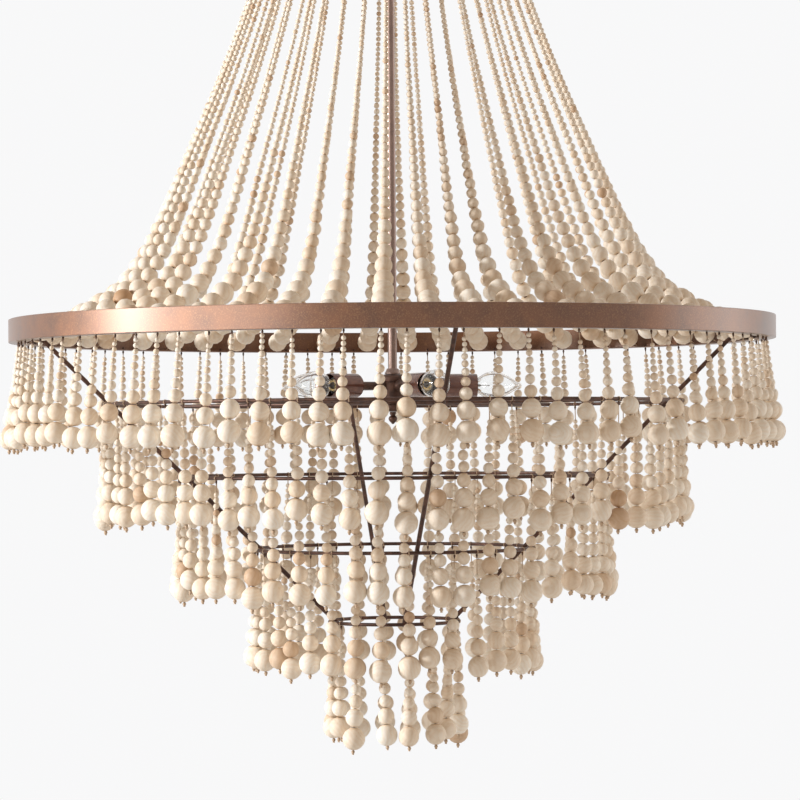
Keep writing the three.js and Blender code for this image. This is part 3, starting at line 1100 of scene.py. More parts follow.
@dataclass
class Hoop:
    """The hoop: an upright band, a flange along its lower edge and the strings that hang from the flange."""

    radius: float = 0.432
    height: float = 0.0254
    wall: float = 0.002
    flange_width: float = 0.018
    flange_thickness: float = 0.0016
    rounding: float = 0.0005
    sides: int = 180
    crease: float = 20.0
    strings: int = 88
    azimuth_spread: float = 0.6
    staple: Knot = Knot(0.0034, 0.003, StringPart.HOOK)
    staple_sink: float = 0.0002
    seed: int = 11
    string: HangingString = HangingString(
        (0.0055, 0.006, 0.0065, 0.0075, 0.0085, 0.0095, 0.0115, 0.015, 0.0218, 0.0262), 0.1257, 0.0100
    )

    @property
    def low(self) -> float:
        """Height of the lower edge."""
        return LEVELS.hoop - self.height / 2

    @property
    def inner(self) -> float:
        """Radius of the band's inside."""
        return self.radius - self.wall

    @property
    def lip(self) -> float:
        """Radius of the flange's inner edge."""
        return self.inner - self.flange_width

    @property
    def step(self) -> float:
        """Height of the flange's upper face."""
        return self.low + self.flange_thickness

    def build(self, maker: Maker) -> None:
        """Builds the band and its strings.

        Args:
            maker: What makes the pieces.
        """
        node = "hoop_bead_fringe"
        maker.piece("hoop_band", self.band_shape(), [HOOP_BRONZE], node, crease=self.crease)
        work = BeadWork(self.seed)
        hang_radius = (self.lip + self.inner) / 2
        for n in range(self.strings):
            spread = work.random.uniform(-self.azimuth_spread, self.azimuth_spread)
            azimuth = (n + 0.5) * 360 / self.strings + spread
            top = radial_point(azimuth, hang_radius, self.step - self.staple_sink)
            work.knot(self.staple, top, Vector((0, 0, 1)))
            self.string.hang(work, azimuth, hang_radius, self.low)
        maker.strings("hoop_strings", work, node)

    def band_shape(self) -> Shape:
        """Shapes the band with its flange.

        Returns:
            The shape.
        """
        high = LEVELS.hoop + self.height / 2
        outline = (
            (self.lip, self.low), (self.radius, self.low), (self.radius, high), (self.inner, high),
            (self.inner, self.step), (self.lip, self.step),
        )
        shape = turned_shape(outline, self.sides, Matrix.Rotation(math.radians(FIRST_STRUT), 4, "Z"))
        level, sharp = 1e-7, 1.0
        rims = [
            e for e in shape.bm.edges
            if abs(e.verts[0].co.z - e.verts[1].co.z) < level and e.calc_face_angle(0) > sharp
        ]
        shape.round_edges(rims, self.rounding)
        return shape


@dataclass
class RingTiers:
    """The four rings below the hoop and their strings."""

    top_radius: float = 0.327
    step: float = 0.0846
    rod_radius: float = 0.0020
    rod_sides: int = 12
    top_steps: int = 96
    fewer_steps: int = 12
    strings: tuple[int, ...] = (72, 52, 36, 16)
    azimuth_share: float = 0.09
    first_seed: int = 20
    string: HangingString = HangingString(
        (0.006, 0.0065, 0.007, 0.008, 0.009, 0.0115, 0.0125, 0.0155, 0.0205, 0.0262), 0.1440
    )
    eye_radius: float = 0.0006
    eye_share: float = 0.6
    eye_steps: int = 10
    eye_sides: int = 4

    def radius(self, n: int) -> float:
        """Returns the radius of ring n, counted from the top one."""
        return self.top_radius - self.step * n

    def build(self, maker: Maker) -> None:
        """Builds each ring's rod and strings.

        Args:
            maker: What makes the pieces.
        """
        for n, count in enumerate(self.strings):
            radius, height = self.radius(n), LEVELS.rings[n]
            name = f"ring_{n + 2}"
            node = f"{name}_bead_fringe"
            shape = Shape()
            steps = self.top_steps - self.fewer_steps * n
            middle = [radial_point(360 * k / steps, radius, height) for k in range(steps)]
            shape.tube(middle, self.rod_radius, self.rod_sides, closed=True)
            maker.iron(f"{name}_rod", shape, node)
            work = BeadWork(self.first_seed + n)
            for k in range(count):
                spread = work.random.uniform(-self.azimuth_share, self.azimuth_share) * 360 / count
                azimuth = (k + 0.5) * 360 / count + spread
                self.eye(work, azimuth, radius, height)
                self.string.hang(work, azimuth, radius, height - self.rod_radius)
            maker.strings(f"{name}_strings", work, node)

    def eye(self, work: BeadWork, azimuth: float, radius: float, height: float) -> None:
        """Adds the turn of cord that a string hangs by on its ring.

        Args:
            work: What the cord is added to.
            azimuth: Azimuth of the string.
            radius: Radius of the ring.
            height: Height of the ring.
        """
        reach = self.rod_radius + self.eye_radius * self.eye_share
        turns = [FULL_TURN * k / self.eye_steps for k in range(self.eye_steps)]
        points = [
            radial_point(azimuth, radius + reach * math.cos(turn), height + reach * math.sin(turn))
            for turn in turns
        ]
        work.cord(points, self.eye_radius, self.eye_sides, closed=True)


@dataclass
class CurtainCourse:
    """The line that the curtain's strings follow from the crown down and outwards to the hoop."""

    start: tuple[float, float] = (0.084, -0.2229)
    end: tuple[float, float] = (0.3985, -0.8155)
    shares: tuple[Span, ...] = (
        (0, 0), (0.12, 0.185), (0.25, 0.381), (0.356, 0.526), (0.478, 0.678), (0.564, 0.784),
        (0.637, 0.861), (0.72, 0.922), (0.793, 0.95), (0.897, 0.98), (1, 1),
    )
    diameters: tuple[Span, ...] = (
        (0, 0.006), (0.5, 0.0062), (0.6, 0.008), (0.68, 0.009), (0.78, 0.012), (0.86, 0.016), (0.92, 0.020),
        (0.95, 0.024), (1, 0.0245),
    )
    steps: int = 12
    points: list[tuple[float, float]] = field(init=False)
    lengths: list[float] = field(init=False)

    def __post_init__(self) -> None:
        """Works out the line's points and the length up to each."""
        run, drop = self.end[0] - self.start[0], self.start[1] - self.end[1]
        course = smooth_outline(self.shares, self.steps)
        self.points = [(self.start[0] + run * out, self.start[1] - drop * down) for out, down in course]
        self.lengths = [0.0]
        for (r0, z0), (r1, z1) in zip(self.points, self.points[1:]):
            self.lengths.append(self.lengths[-1] + math.hypot(r1 - r0, z1 - z0))

    def at(self, distance: float) -> tuple[float, float, float, float]:
        """Finds a point of the line.

        Args:
            distance: Length along the line from the crown.

        Returns:
            Its radius and height, and the line's direction there, outwards and upwards.
        """
        n = 1
        while n < len(self.lengths) - 1 and self.lengths[n] < distance:
            n += 1
        (r0, z0), (r1, z1) = self.points[n - 1], self.points[n]
        stretch = self.lengths[n] - self.lengths[n - 1]
        t = (distance - self.lengths[n - 1]) / stretch
        return r0 + (r1 - r0) * t, z0 + (z1 - z0) * t, (r1 - r0) / stretch, (z1 - z0) / stretch

    def point(self, azimuth: float, distance: float) -> Vector:
        """Returns the point of the line at an azimuth."""
        return radial_point(azimuth, *self.at(distance)[:2])

    def diameter(self, height: float) -> float:
        """Finds the size of the beads at a height.

        Args:
            height: The height.

        Returns:
            The diameter.
        """
        down = (self.start[1] - height) / (self.start[1] - self.end[1])
        for (low, small), (high, large) in zip(self.diameters, self.diameters[1:]):
            if down <= high:
                return small + (large - small) * (down - low) / (high - low)
        return self.diameters[-1][1]


@dataclass
class Curtain:
    """The curtain of long strings and the crown band that it hangs from."""

    course: CurtainCourse = field(default_factory=CurtainCourse)
    hoop: Hoop = field(default_factory=Hoop)
    strings: int = 48
    sectors: int = 6
    first_seed: int = 40
    azimuth_spread: float = 1.3
    size_shares: Span = (0.985, 1.015)
    bead_shares: Span = (0.95, 1.03)
    largest_bead: float = 0.0248
    bead_gap: float = 0.0001
    top_gap: float = 0.003
    foot_gap: float = 0.004
    past_course: float = 0.0115
    past_middle: float = 0.004
    swing_spread: float = 0.0016
    swing_turn: float = 4.0
    sag_spread: float = 0.0014
    side_share: float = 0.02
    cord_radius: float = 0.0005
    cord_bite: float = 0.001
    hook_inset: float = 0.002
    band_radius: float = 0.085
    band_height: float = 0.016
    band_wall: float = 0.002
    band_rounding: float = 0.0005
    band_sides: int = 96

    def build(self, maker: Maker) -> None:
        """Builds the crown band and the strings, in sectors.

        Args:
            maker: What makes the pieces.
        """
        node, half = "crown_bead_curtain", self.band_height / 2
        inner, low, high = self.band_radius - self.band_wall, LEVELS.crown - half, LEVELS.crown + half
        outline = rounded_ring(inner, self.band_radius, low, high, self.band_rounding)
        band = turned_shape(outline, self.band_sides)
        maker.piece("crown_band", band, [HOOP_BRONZE], node)
        spacing = 360 / self.strings
        each = self.strings // self.sectors
        for sector in range(self.sectors):
            work = BeadWork(self.first_seed + sector)
            for n in range(sector * each, (sector + 1) * each):
                spread = work.random.uniform(-self.azimuth_spread, self.azimuth_spread)
                self.string(work, FIRST_STRUT + spacing * (n + 0.5) + spread)
            maker.strings(f"curtain_strings_{sector + 1}", work, node)

    def sizes(self, draw: random.Random, reach: float) -> tuple[list[float], float]:
        """Draws the beads of one string.

        Args:
            draw: Where the random numbers come from.
            reach: The string's length.

        Returns:
            The beads' diameters from the crown down, and the length above the first bead.
        """
        share = draw.uniform(*self.size_shares)
        sizes, distance = [], self.top_gap
        while distance < reach - self.foot_gap:
            height = self.course.at(min(distance, self.course.lengths[-1]))[1]
            size = self.course.diameter(height) * share * draw.uniform(*self.bead_shares)
            sizes.append(min(size, self.largest_bead))
            distance += sizes[-1] + self.bead_gap
        return sizes, self.top_gap - (distance - reach)

    def string(self, work: BeadWork, azimuth: float) -> None:
        """Adds one long string.

        Args:
            work: What the beads are added to.
            azimuth: Azimuth of the string.
        """
        draw = work.random
        length = self.course.lengths[-1]
        reach = length + self.past_course
        sizes, start = self.sizes(draw, reach)
        phase, swing = draw.uniform(0, FULL_TURN), draw.gauss(0, self.swing_spread)
        sag = draw.gauss(0, self.sag_spread)
        out, side = outward_and_side(azimuth)
        distance = start
        for size in sizes:
            middle = distance + size / 2
            radius, height, out_slope, rise = self.course.at(min(middle, length + self.past_middle))
            way = middle / reach
            ease = math.sin(math.pi * min(1.0, max(0.0, way)))
            drift = swing * ease * math.sin(phase + self.swing_turn * way)
            centre = radial_point(azimuth, radius + sag * ease, height)
            centre += side * (drift + draw.gauss(0, size * self.side_share))
            work.bead(centre, (out * out_slope + Vector((0, 0, rise))).normalized(), size)
            distance += size + self.bead_gap
        low = LEVELS.crown - self.band_height / 2
        top = radial_point(azimuth, self.course.start[0], low + self.cord_bite)
        work.cord([top, self.course.point(azimuth, max(0.0, start + self.top_gap))], self.cord_radius)
        hook = radial_point(azimuth, self.hoop.lip + self.hook_inset, self.hoop.step)
        work.cord([self.course.point(azimuth, length), hook], self.cord_radius)
        work.end_string()


@dataclass
class Struts:
    """The four struts inside the rings and the four spokes from the hub to the top ring."""

    rod_radius: float = 0.0025
    rod_sides: int = 14
    foot_height: float = -0.8232
    foot_radius: float = 0.4293
    tail: float = 0.007
    bend: float = 0.006
    bend_steps: int = 8
    weld_sink: float = 0.9
    weld_size: Span = (1.105, 0.85)
    weld_facets: tuple[int, int] = (10, 6)
    spoke_radius: float = 0.0022
    spoke_start: float = 0.0123
    spoke_collar: Outline = ((0, 0.0165), (0.00099, 0.0170), (0.00099, 0.0205), (0, 0.0215))
    spoke_rounding: float = 0.001
    spoke_sides: int = 20
    tiers: RingTiers = field(default_factory=RingTiers)

    def build(self, maker: Maker) -> None:
        """Builds the struts and the spokes.

        Args:
            maker: What makes the pieces.
        """
        slope = Vector((-self.tiers.step, LEVELS.rings[1] - LEVELS.rings[0]))
        pitch = slope.length
        slope.normalize()
        aside = self.tiers.rod_radius + self.rod_radius + SEAT_GAP
        at_top = Vector((self.tiers.radius(0) + slope.y * aside, LEVELS.rings[0] - slope.x * aside))
        contacts = [at_top + slope * (pitch * ring) for ring in range(len(LEVELS.rings))]
        line = self.middle_line(at_top, slope, at_top + slope * (pitch * (len(contacts) - 1) + self.tail))
        for n in range(STRUT_COUNT):
            azimuth = FIRST_STRUT + STRUT_SPACING * n
            shape = Shape()
            shape.tube([radial_point(azimuth, r, z) for r, z in line], self.rod_radius, self.rod_sides)
            for contact in contacts:
                self.weld(shape, azimuth, contact, slope)
            maker.iron(f"strut_{n + 1}_rod", shape, f"strut_{n + 1}")
            self.spoke(maker, n)

    def middle_line(self, at_top: Vector, slope: Vector, foot: Vector) -> list[tuple[float, float]]:
        """Finds a strut's middle line, which bends from the flange down along the rings.

        Args:
            at_top: Its point beside the top ring, as radius and height.
            slope: Its direction along the rings.
            foot: Its lower end.

        Returns:
            The line's points, as radius and height.
        """
        knee = at_top + slope * ((self.foot_height - at_top.y) / slope.y)
        before, after = Vector((knee.x + self.bend, self.foot_height)), knee + slope * self.bend
        line = [(self.foot_radius, self.foot_height), (knee.x + self.bend * 2, self.foot_height)]
        for k in range(1, self.bend_steps):
            t = k / self.bend_steps
            point = before * (1 - t) ** 2 + knee * (2 * t * (1 - t)) + after * t**2
            line.append((point.x, point.y))
        return [*line, (at_top.x, at_top.y), (foot.x, foot.y)]

    def weld(self, shape: Shape, azimuth: float, contact: Vector, slope: Vector) -> None:
        """Adds the small weld where a strut meets a ring.

        Args:
            shape: The strut's shape.
            azimuth: Azimuth of the strut.
            contact: The strut's middle line beside the ring, as radius and height.
            slope: The strut's direction, as radius and height.
        """
        outer = contact + Vector((-slope.y, slope.x)) * self.rod_radius * self.weld_sink
        wide, high = self.weld_size
        size = Vector((wide, wide, high)) * self.rod_radius
        place = Matrix.LocRotScale(radial_point(azimuth, outer.x, outer.y), Quaternion(), size)
        around, upwards = self.weld_facets
        bmesh.ops.create_uvsphere(shape.bm, u_segments=around, v_segments=upwards, radius=1.0, matrix=place)

    def spoke(self, maker: Maker, n: int) -> None:
        """Builds one spoke, with the collar that holds it in the hub.

        Args:
            maker: What makes the piece.
            n: The spoke, counted from 0.
        """
        reach = self.tiers.radius(0) - self.tiers.rod_radius - SEAT_GAP
        outline = collared_rod(
            self.spoke_radius, self.spoke_start, reach, self.spoke_collar, self.spoke_rounding
        )
        place = outward_frame(FIRST_STRUT + STRUT_SPACING * (n + 0.5), LEVELS.rings[0])
        maker.iron(f"spoke_{n + 1}_rod", turned_shape(outline, self.spoke_sides, place), f"spoke_{n + 1}")


@dataclass
class Centre:
    """The stem, its nut, the hub and the finial."""

    stem_radius: float = 0.0051
    stem_low: float = -0.8736
    stem_high: float = -0.1867
    stem_rounding: float = 0.0004
    stem_sides: int = 32
    hub_radius: float = 0.0158
    hub_height: float = 0.042
    hub_shoulder: Outline = ((-0.0055, 0), (-0.002, -0.0008), (-0.0002, -0.0032), (0, -0.006))
    hub_groove: Outline = ((0, -0.0075), (-0.0012, -0.0083), (-0.0012, -0.0093), (0, -0.0101))
    hub_sides: int = 40
    nut_radius: float = 0.009
    nut_height: float = 0.0065
    nut_flange: Outline = ((-0.0005, 0), (0, 0.0005), (0, 0.0018), (-0.0008, 0.0026))
    nut_neck: Outline = ((0.0019, -0.0015), (0.0012, -0.0003), (0.0008, 0), (0, 0))
    nut_sides: int = 36
    finial_profile: Outline = (
        (0.0036, 0), (0.0036, -0.0026), (0.0026, -0.0036), (0.0029, -0.0044), (0.0044, -0.0058),
        (0.0050, -0.0076), (0.0045, -0.0096), (0.0032, -0.0114), (0.0019, -0.0126), (0.0013, -0.0136),
    )
    finial_length: float = 0.014
    finial_steps: int = 3
    finial_sides: int = 32

    def build(self, maker: Maker) -> None:
        """Builds the pieces on the stem's axis.

        Args:
            maker: What makes the pieces.
        """
        outline = rounded_ring(0, self.stem_radius, self.stem_low, self.stem_high, self.stem_rounding)
        maker.piece("stem_tube", turned_shape(outline, self.stem_sides), [STEM_BRONZE], "stem")
        maker.iron("hub_body", turned_shape(self.hub_outline, self.hub_sides), "hub")
        nut = turned_shape(self.nut_outline, self.nut_sides)
        maker.piece("stem_nut_turned", nut, [STEM_BRONZE], "stem_nut")
        maker.iron("finial_turned", turned_shape(self.finial_outline, self.finial_sides), "finial")

    @property
    def hub_outline(self) -> Outline:
        """Draws the hub, alike at its top and its foot.

        Returns:
            The outline.
        """
        top, foot = LEVELS.hub_top, LEVELS.hub_top - self.hub_height
        shoulder = smooth_outline(profile_at(self.hub_radius, top, self.hub_shoulder), SMOOTH_STEPS)
        upper = [*shoulder, *profile_at(self.hub_radius, top, self.hub_groove)]
        lower = [(r, foot + (top - z)) for r, z in reversed(upper)]
        return [(0, top), *upper, *lower, (0, foot)]

    @property
    def nut_outline(self) -> Outline:
        """Draws the flared nut at the stem's foot.

        Returns:
            The outline.
        """
        low, bore = LEVELS.hub_top + SEAT_GAP, self.stem_radius + SEAT_GAP
        neck = profile_at(bore, low + self.nut_height, self.nut_neck)
        return [(bore, low), *profile_at(self.nut_radius, low, self.nut_flange), *neck]

    @property
    def finial_outline(self) -> Outline:
        """Draws the finial under the hub.

        Returns:
            The outline.
        """
        top = LEVELS.hub_top - self.hub_height - SEAT_GAP
        course = smooth_outline(profile_at(0, top, self.finial_profile), self.finial_steps)
        return [(0, top), *course, (0, top - self.finial_length)]


@dataclass
class Lamp:
    """One lamp: arm, sleeve, lampholder and bulb on a level axis, measured from the stem's axis outwards."""

    number: int
    azimuth: float
    arm_radius: float = 0.0045
    arm: Span = (0.0123, 0.0593)
    arm_collar: Outline = (
        (0, 0.0166), (0.001575, 0.0172), (0.001575, 0.0205), (0.00045, 0.0216), (0, 0.0225),
    )
    arm_rounding: float = 0.0006
    arm_sides: int = 24
    sleeve: Span = (0.054, 0.096)
    sleeve_radius: float = 0.0134
    sleeve_wall: float = 0.001
    sleeve_plate: float = 0.0016
    sleeve_back: Outline = ((-0.0022, 0), (-0.0007, 0.0005), (0, 0.0018))
    sleeve_rim: Outline = (
        (0, -0.0012), (-0.0003, -0.0003), (-0.0005, 0), (-0.0009, -0.0003), (-0.001, -0.0010),
    )
    sleeve_floor: Outline = ((0, 0.0030), (-0.0012, 0.0016))
    sleeve_sides: int = 48
    sleeve_crease: float = 25.0
    holder: Span = (0.0559, 0.0889)
    holder_radius: float = 0.0095
    holder_floor: float = 0.0626
    holder_rounding: float = 0.0008
    bore_rounding: float = 0.0005
    rib: Outline = ((0, 0), (-0.0005, 0.0005), (-0.0005, 0.0011), (0, 0.0016))
    rib_start: float = 0.006
    rib_pitch: float = 0.0032
    rib_count: int = 6
    cap_radius: float = 0.0061
    cap: Span = (0.0651, 0.0908)
    cap_contact: Outline = ((0, 0), (0.0022, 0.0003), (0.0026, 0.0012), (0.0049, 0.0024))
    thread: Outline = ((-0.0006, 0), (0, 0.0008), (0, 0.0013), (-0.0006, 0.0021))
    thread_start: float = 0.0034
    thread_pitch: float = 0.0025
    thread_turns: int = 7
    cap_shoulder: Outline = ((-0.0002, -0.0021),)
    cap_flange: float = 0.0074
    cap_rim: Outline = ((-0.0004, -0.0016), (0, -0.0012), (0, -0.0003), (-0.0004, 0))
    small_sides: int = 36
    post: Outline = (
        (0, 0), (0.0040, 0), (0.0030, 0.0016), (0.0017, 0.0040), (0.0014, 0.0085), (0.0010, 0.0100),
        (0.0005, 0.0105), (0, 0.0106),
    )
    post_sides: int = 16
    lead: Outline = ((0.0008, 0.0095), (0.0016, 0.0120), (0.0034, 0.0165), (0.0046, 0.0196))
    lead_radius: float = 0.00022
    lead_sides: int = 6
    coil_half_width: float = 0.0046
    coil_height: float = 0.0196
    coil_sag: float = 0.0028
    coil_radius: float = 0.0005
    coil_wire: float = 0.00012
    coil_turns: int = 10
    coil_steps: int = 60
    coil_sides: int = 4
    glass: Span = (0.0911, 0.1471)
    glass_radius: float = 0.016
    glass_wall: float = 0.0009
    glass_tip: float = 1.4
    thinnest_glass: float = 1.2
    glass_shares: Outline = (
        (0, 0.46), (0.05, 0.47), (0.14, 0.62), (0.25, 0.85), (0.38, 0.985), (0.48, 0.975), (0.62, 0.84),
        (0.76, 0.60), (0.87, 0.36), (0.94, 0.20), (0.985, 0.08), (1, 0),
    )
    glass_sides: int = 40

    def build(self, maker: Maker) -> None:
        """Builds the lamp's pieces.

        Args:
            maker: What makes the pieces.
        """
        place = outward_frame(self.azimuth, LEVELS.lamps)
        n, bulb, slot = self.number, f"bulb_{self.number}", Slot.LAMPHOLDER
        outline = collared_rod(self.arm_radius, *self.arm, self.arm_collar, self.arm_rounding)
        maker.iron(f"arm_{n}_tube", turned_shape(outline, self.arm_sides, place), f"arm_{n}")
        sleeve, crease = turned_shape(self.sleeve_outline, self.sleeve_sides, place), self.sleeve_crease
        maker.piece(f"sleeve_{n}_tube", sleeve, [SLEEVE_LACQUER], f"sleeve_{n}", crease=crease)
        holder = turned_shape(self.holder_outline, self.small_sides, place)
        maker.piece(f"lampholder_{n}_moulded", holder, [HOLDER_PHENOLIC], f"lampholder_{n}")
        cap = turned_shape(self.cap_outline, self.small_sides, place)
        maker.piece(f"{bulb}_cap", cap, [CAP_BRASS], f"bulb_base_{n}", bulb)
        maker.piece(f"{bulb}_mount", self.mount_shape(place), [FILAMENT], f"bulb_base_{n}", bulb)
        glass = turned_shape(self.glass_outline, self.glass_sides, place)
        maker.piece(f"{bulb}_envelope", glass, [BULB_GLASS], f"bulb_glass_{n}", bulb)

    @property
    def sleeve_outline(self) -> Outline:
        """Draws the sleeve with its rolled rim and back plate.

        Returns:
            The outline.
        """
        r, (start, end), hole = self.sleeve_radius, self.sleeve, self.arm_radius + SEAT_GAP
        return [
            (hole, start), *profile_at(r, start, self.sleeve_back), *profile_at(r, end, self.sleeve_rim),
            *profile_at(r - self.sleeve_wall, start, self.sleeve_floor), (hole, start + self.sleeve_plate),
        ]

    @property
    def holder_outline(self) -> Outline:
        """Draws the ribbed lampholder with its bored mouth.

        Returns:
            The outline.
        """
        r, (start, end), rounding = self.holder_radius, self.holder, self.holder_rounding
        bore, back, seat = self.cap_radius + SEAT_GAP, self.arm_radius + SEAT_GAP, self.arm[1] + SEAT_GAP
        ribs = profile_at(r, start + self.rib_start, self.rib, self.rib_pitch, self.rib_count)
        return [
            (0, seat), (back, seat), (back, start), (r - rounding, start), (r, start + rounding), *ribs,
            (r, end - rounding), (r - rounding, end), (bore + self.bore_rounding, end),
            (bore, end - self.bore_rounding), (bore, self.holder_floor), (0, self.holder_floor),
        ]

    @property
    def cap_outline(self) -> Outline:
        """Draws the bulb's screw cap with its thread.

        Returns:
            The outline.
        """
        r, (start, end), first = self.cap_radius, self.cap, self.cap[0] + self.thread_start
        thread = profile_at(r, first, self.thread, self.thread_pitch, self.thread_turns)
        rim = profile_at(self.cap_flange, end, self.cap_rim)
        contact = profile_at(0, start, self.cap_contact)
        return [*contact, *thread, *profile_at(r, end, self.cap_shoulder), *rim, (0, end)]

    @property
    def glass_outline(self) -> Outline:
        """Draws the bulb's envelope, open where the cap holds it.

        Returns:
            The outline.
        """
        (start, end), wall = self.glass, self.glass_wall
        course = [(self.glass_radius * out, start + (end - start) * way) for way, out in self.glass_shares]
        outside = smooth_outline(course, SMOOTH_STEPS)
        inside = [(max(0.0, x - wall), z) for x, z in outside if x > wall * self.thinnest_glass]
        return [*reversed(outside), *inside, (0, end - wall * self.glass_tip)]

    def mount_shape(self, place: Matrix) -> Shape:
        """Shapes the post inside the bulb with its lead wires and filament.

        Args:
            place: The lamp's axis.

        Returns:
            The shape.
        """
        start = self.cap[1]
        shape = turned_shape(profile_at(0, start, self.post), self.post_sides, place)
        for side in (-1, 1):
            points = [place @ Vector((side * x, 0, start + z)) for x, z in self.lead]
            shape.tube(points, self.lead_radius, self.lead_sides)
        coil = []
        for k in range(self.coil_steps + 1):
            t = k / self.coil_steps
            turn = FULL_TURN * self.coil_turns * t
            x = self.coil_half_width * (2 * t - 1)
            arch = self.coil_height - self.coil_sag * (2 * t - 1) ** 2
            across, up = self.coil_radius * math.cos(turn), arch + self.coil_radius * math.sin(turn)
            coil.append(place @ Vector((x, across, start + up)))
        shape.tube(coil, self.coil_wire, self.coil_sides)
        return shape


@dataclass
class Chain:
    """The chain links and the two collared loops that they join."""

    wire: float = 0.002
    wire_sides: int = 14
    bend: float = 0.008
    bend_steps: int = 12
    straight: float = 0.022
    straight_steps: int = 4
    loop_radius: float = 0.012
    loop_wire: float = 0.0026
    loop_sides: int = 16
    loop_steps: int = 40
    collar_radius: float = 0.0115
    collar_height: float = 0.011
    collar_foot: Outline = (
        (-0.0006, 0), (0, 0.0006), (0, 0.0022), (-0.0007, 0.0030), (-0.0007, 0.0038), (0, 0.0046),
    )
    collar_top: Outline = ((0, -0.0026), (-0.0006, -0.0018), (-0.0020, -0.0004), (-0.0030, 0))
    collar_sides: int = 40
    bore: float = 0.0054
    bore_depth: float = 0.0065
    sink: float = 0.0015
    canopy_collar_top: float = -0.0303

    def build(self, maker: Maker) -> None:
        """Builds the links and loops.

        Args:
            maker: What makes the pieces.
        """
        for n, body in enumerate((Body.LINK_1, Body.LINK_2, Body.LINK_3)):
            name = f"chain_link_{n + 1}"
            box_low, box_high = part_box(name)
            middle = Matrix.Translation((0, 0, (box_low.z + box_high.z) / 2))
            turn = Matrix.Rotation(math.radians(90 * ((n + 1) % 2)), 4, "Z")
            shape = self.link_shape(middle @ turn)
            maker.piece(f"{name}_wire", shape, [STEM_BRONZE], name, body.value)
        upper = Matrix.Translation((0, 0, self.canopy_collar_top)) @ Matrix.Rotation(math.pi, 4, "X")
        lower = Matrix.Translation((0, 0, LEVELS.fixture_collar))
        for name, place, body in (("canopy_loop", upper, Body.CANOPY), ("fixture_loop", lower, Body.FIXTURE)):
            maker.piece(f"{name}_cast", self.loop_shape(place), [STEM_BRONZE], name, body.value)

    def link_shape(self, place: Matrix) -> Shape:
        """Shapes one oval link of bent wire, in the XZ plane of its place.

        Args:
            place: The link's middle.

        Returns:
            The shape.
        """
        points = []
        for sign in (1, -1):
            for k in range(self.bend_steps + 1):
                turn = math.pi * k / self.bend_steps
                across, up = self.bend * math.cos(turn), self.bend * math.sin(turn) + self.straight / 2
                points.append(Vector((sign * across, 0, sign * up)))
            for k in range(1, self.straight_steps):
                up = self.straight * (0.5 - k / self.straight_steps)
                points.append(Vector((-sign * self.bend, 0, sign * up)))
        shape = Shape()
        shape.tube([place @ p for p in points], self.wire, self.wire_sides, closed=True)
        return shape

    def loop_shape(self, place: Matrix) -> Shape:
        """Shapes a ring on a threaded collar.

        Args:
            place: The middle of the collar's bored end, with Z towards the ring.

        Returns:
            The shape.
        """
        r, height = self.collar_radius, self.collar_height
        outline = [
            (self.bore, 0), *profile_at(r, 0, self.collar_foot), *profile_at(r, height, self.collar_top),
            (0, height), (0, self.bore_depth), (self.bore, self.bore_depth),
        ]
        shape = turned_shape(outline, self.collar_sides, place)
        centre = height + self.loop_radius - self.sink
        turns = [FULL_TURN * k / self.loop_steps for k in range(self.loop_steps)]
        points = [
            Vector((self.loop_radius * math.cos(turn), 0, centre + self.loop_radius * math.sin(turn)))
            for turn in turns
        ]
        shape.tube([place @ p for p in points], self.loop_wire, self.loop_sides, closed=True)
        return shape


@dataclass
class Crown:
    """The spider that holds the crown band on the stem, and its nut."""

    hub_radius: float = 0.011
    hub_height: float = 0.012
    hub_rounding: float = 0.001
    hub_sides: int = 40
    rod_count: int = 4
    rod_radius: float = 0.003
    rod_sink: float = 0.002
    rod_end: float = 0.0824
    rod_sides: int = 18
    bore: float = 0.0054
    nut_radius: float = 0.010
    nut_height: float = 0.005
    nut_rounding: float = 0.0004
    nut_sides: int = 6
    azimuth: float = 45.0

    def build(self, maker: Maker) -> None:
        """Builds the spider and the nut.

        Args:
            maker: What makes the pieces.
        """
        half = self.hub_height / 2
        low, high = LEVELS.crown - half, LEVELS.crown + half
        outline = rounded_ring(self.bore, self.hub_radius, low, high, self.hub_rounding)
        spider = turned_shape(outline, self.hub_sides)
        start = self.hub_radius - self.rod_sink
        rod = ((0, start), (self.rod_radius, start), (self.rod_radius, self.rod_end), (0, self.rod_end))
        for n in range(self.rod_count):
            place = outward_frame(self.azimuth + 360 / self.rod_count * n, LEVELS.crown)
            spider.turned(rod, self.rod_sides, place)
        maker.iron("crown_spider_cast", spider, "crown_spider")
        nut = self.nut_shape(low - SEAT_GAP)
        maker.piece("crown_nut_hex", nut, [STEM_BRONZE], "crown_nut")

    def nut_shape(self, high: float) -> Shape:
        """Shapes the six-sided nut, with its outer edges rounded.

        Args:
            high: Height of its top.

        Returns:
            The shape.
        """
        low = high - self.nut_height
        outline = ((self.bore, low), (self.nut_radius, low), (self.nut_radius, high), (self.bore, high))
        shape = turned_shape(outline, self.nut_sides)
        sharp, shortest = 0.6, 0.004
        edges = [e for e in shape.bm.edges if e.calc_face_angle(0) > sharp and e.calc_length() > shortest]
        shape.round_edges(edges, self.nut_rounding)
        return shape


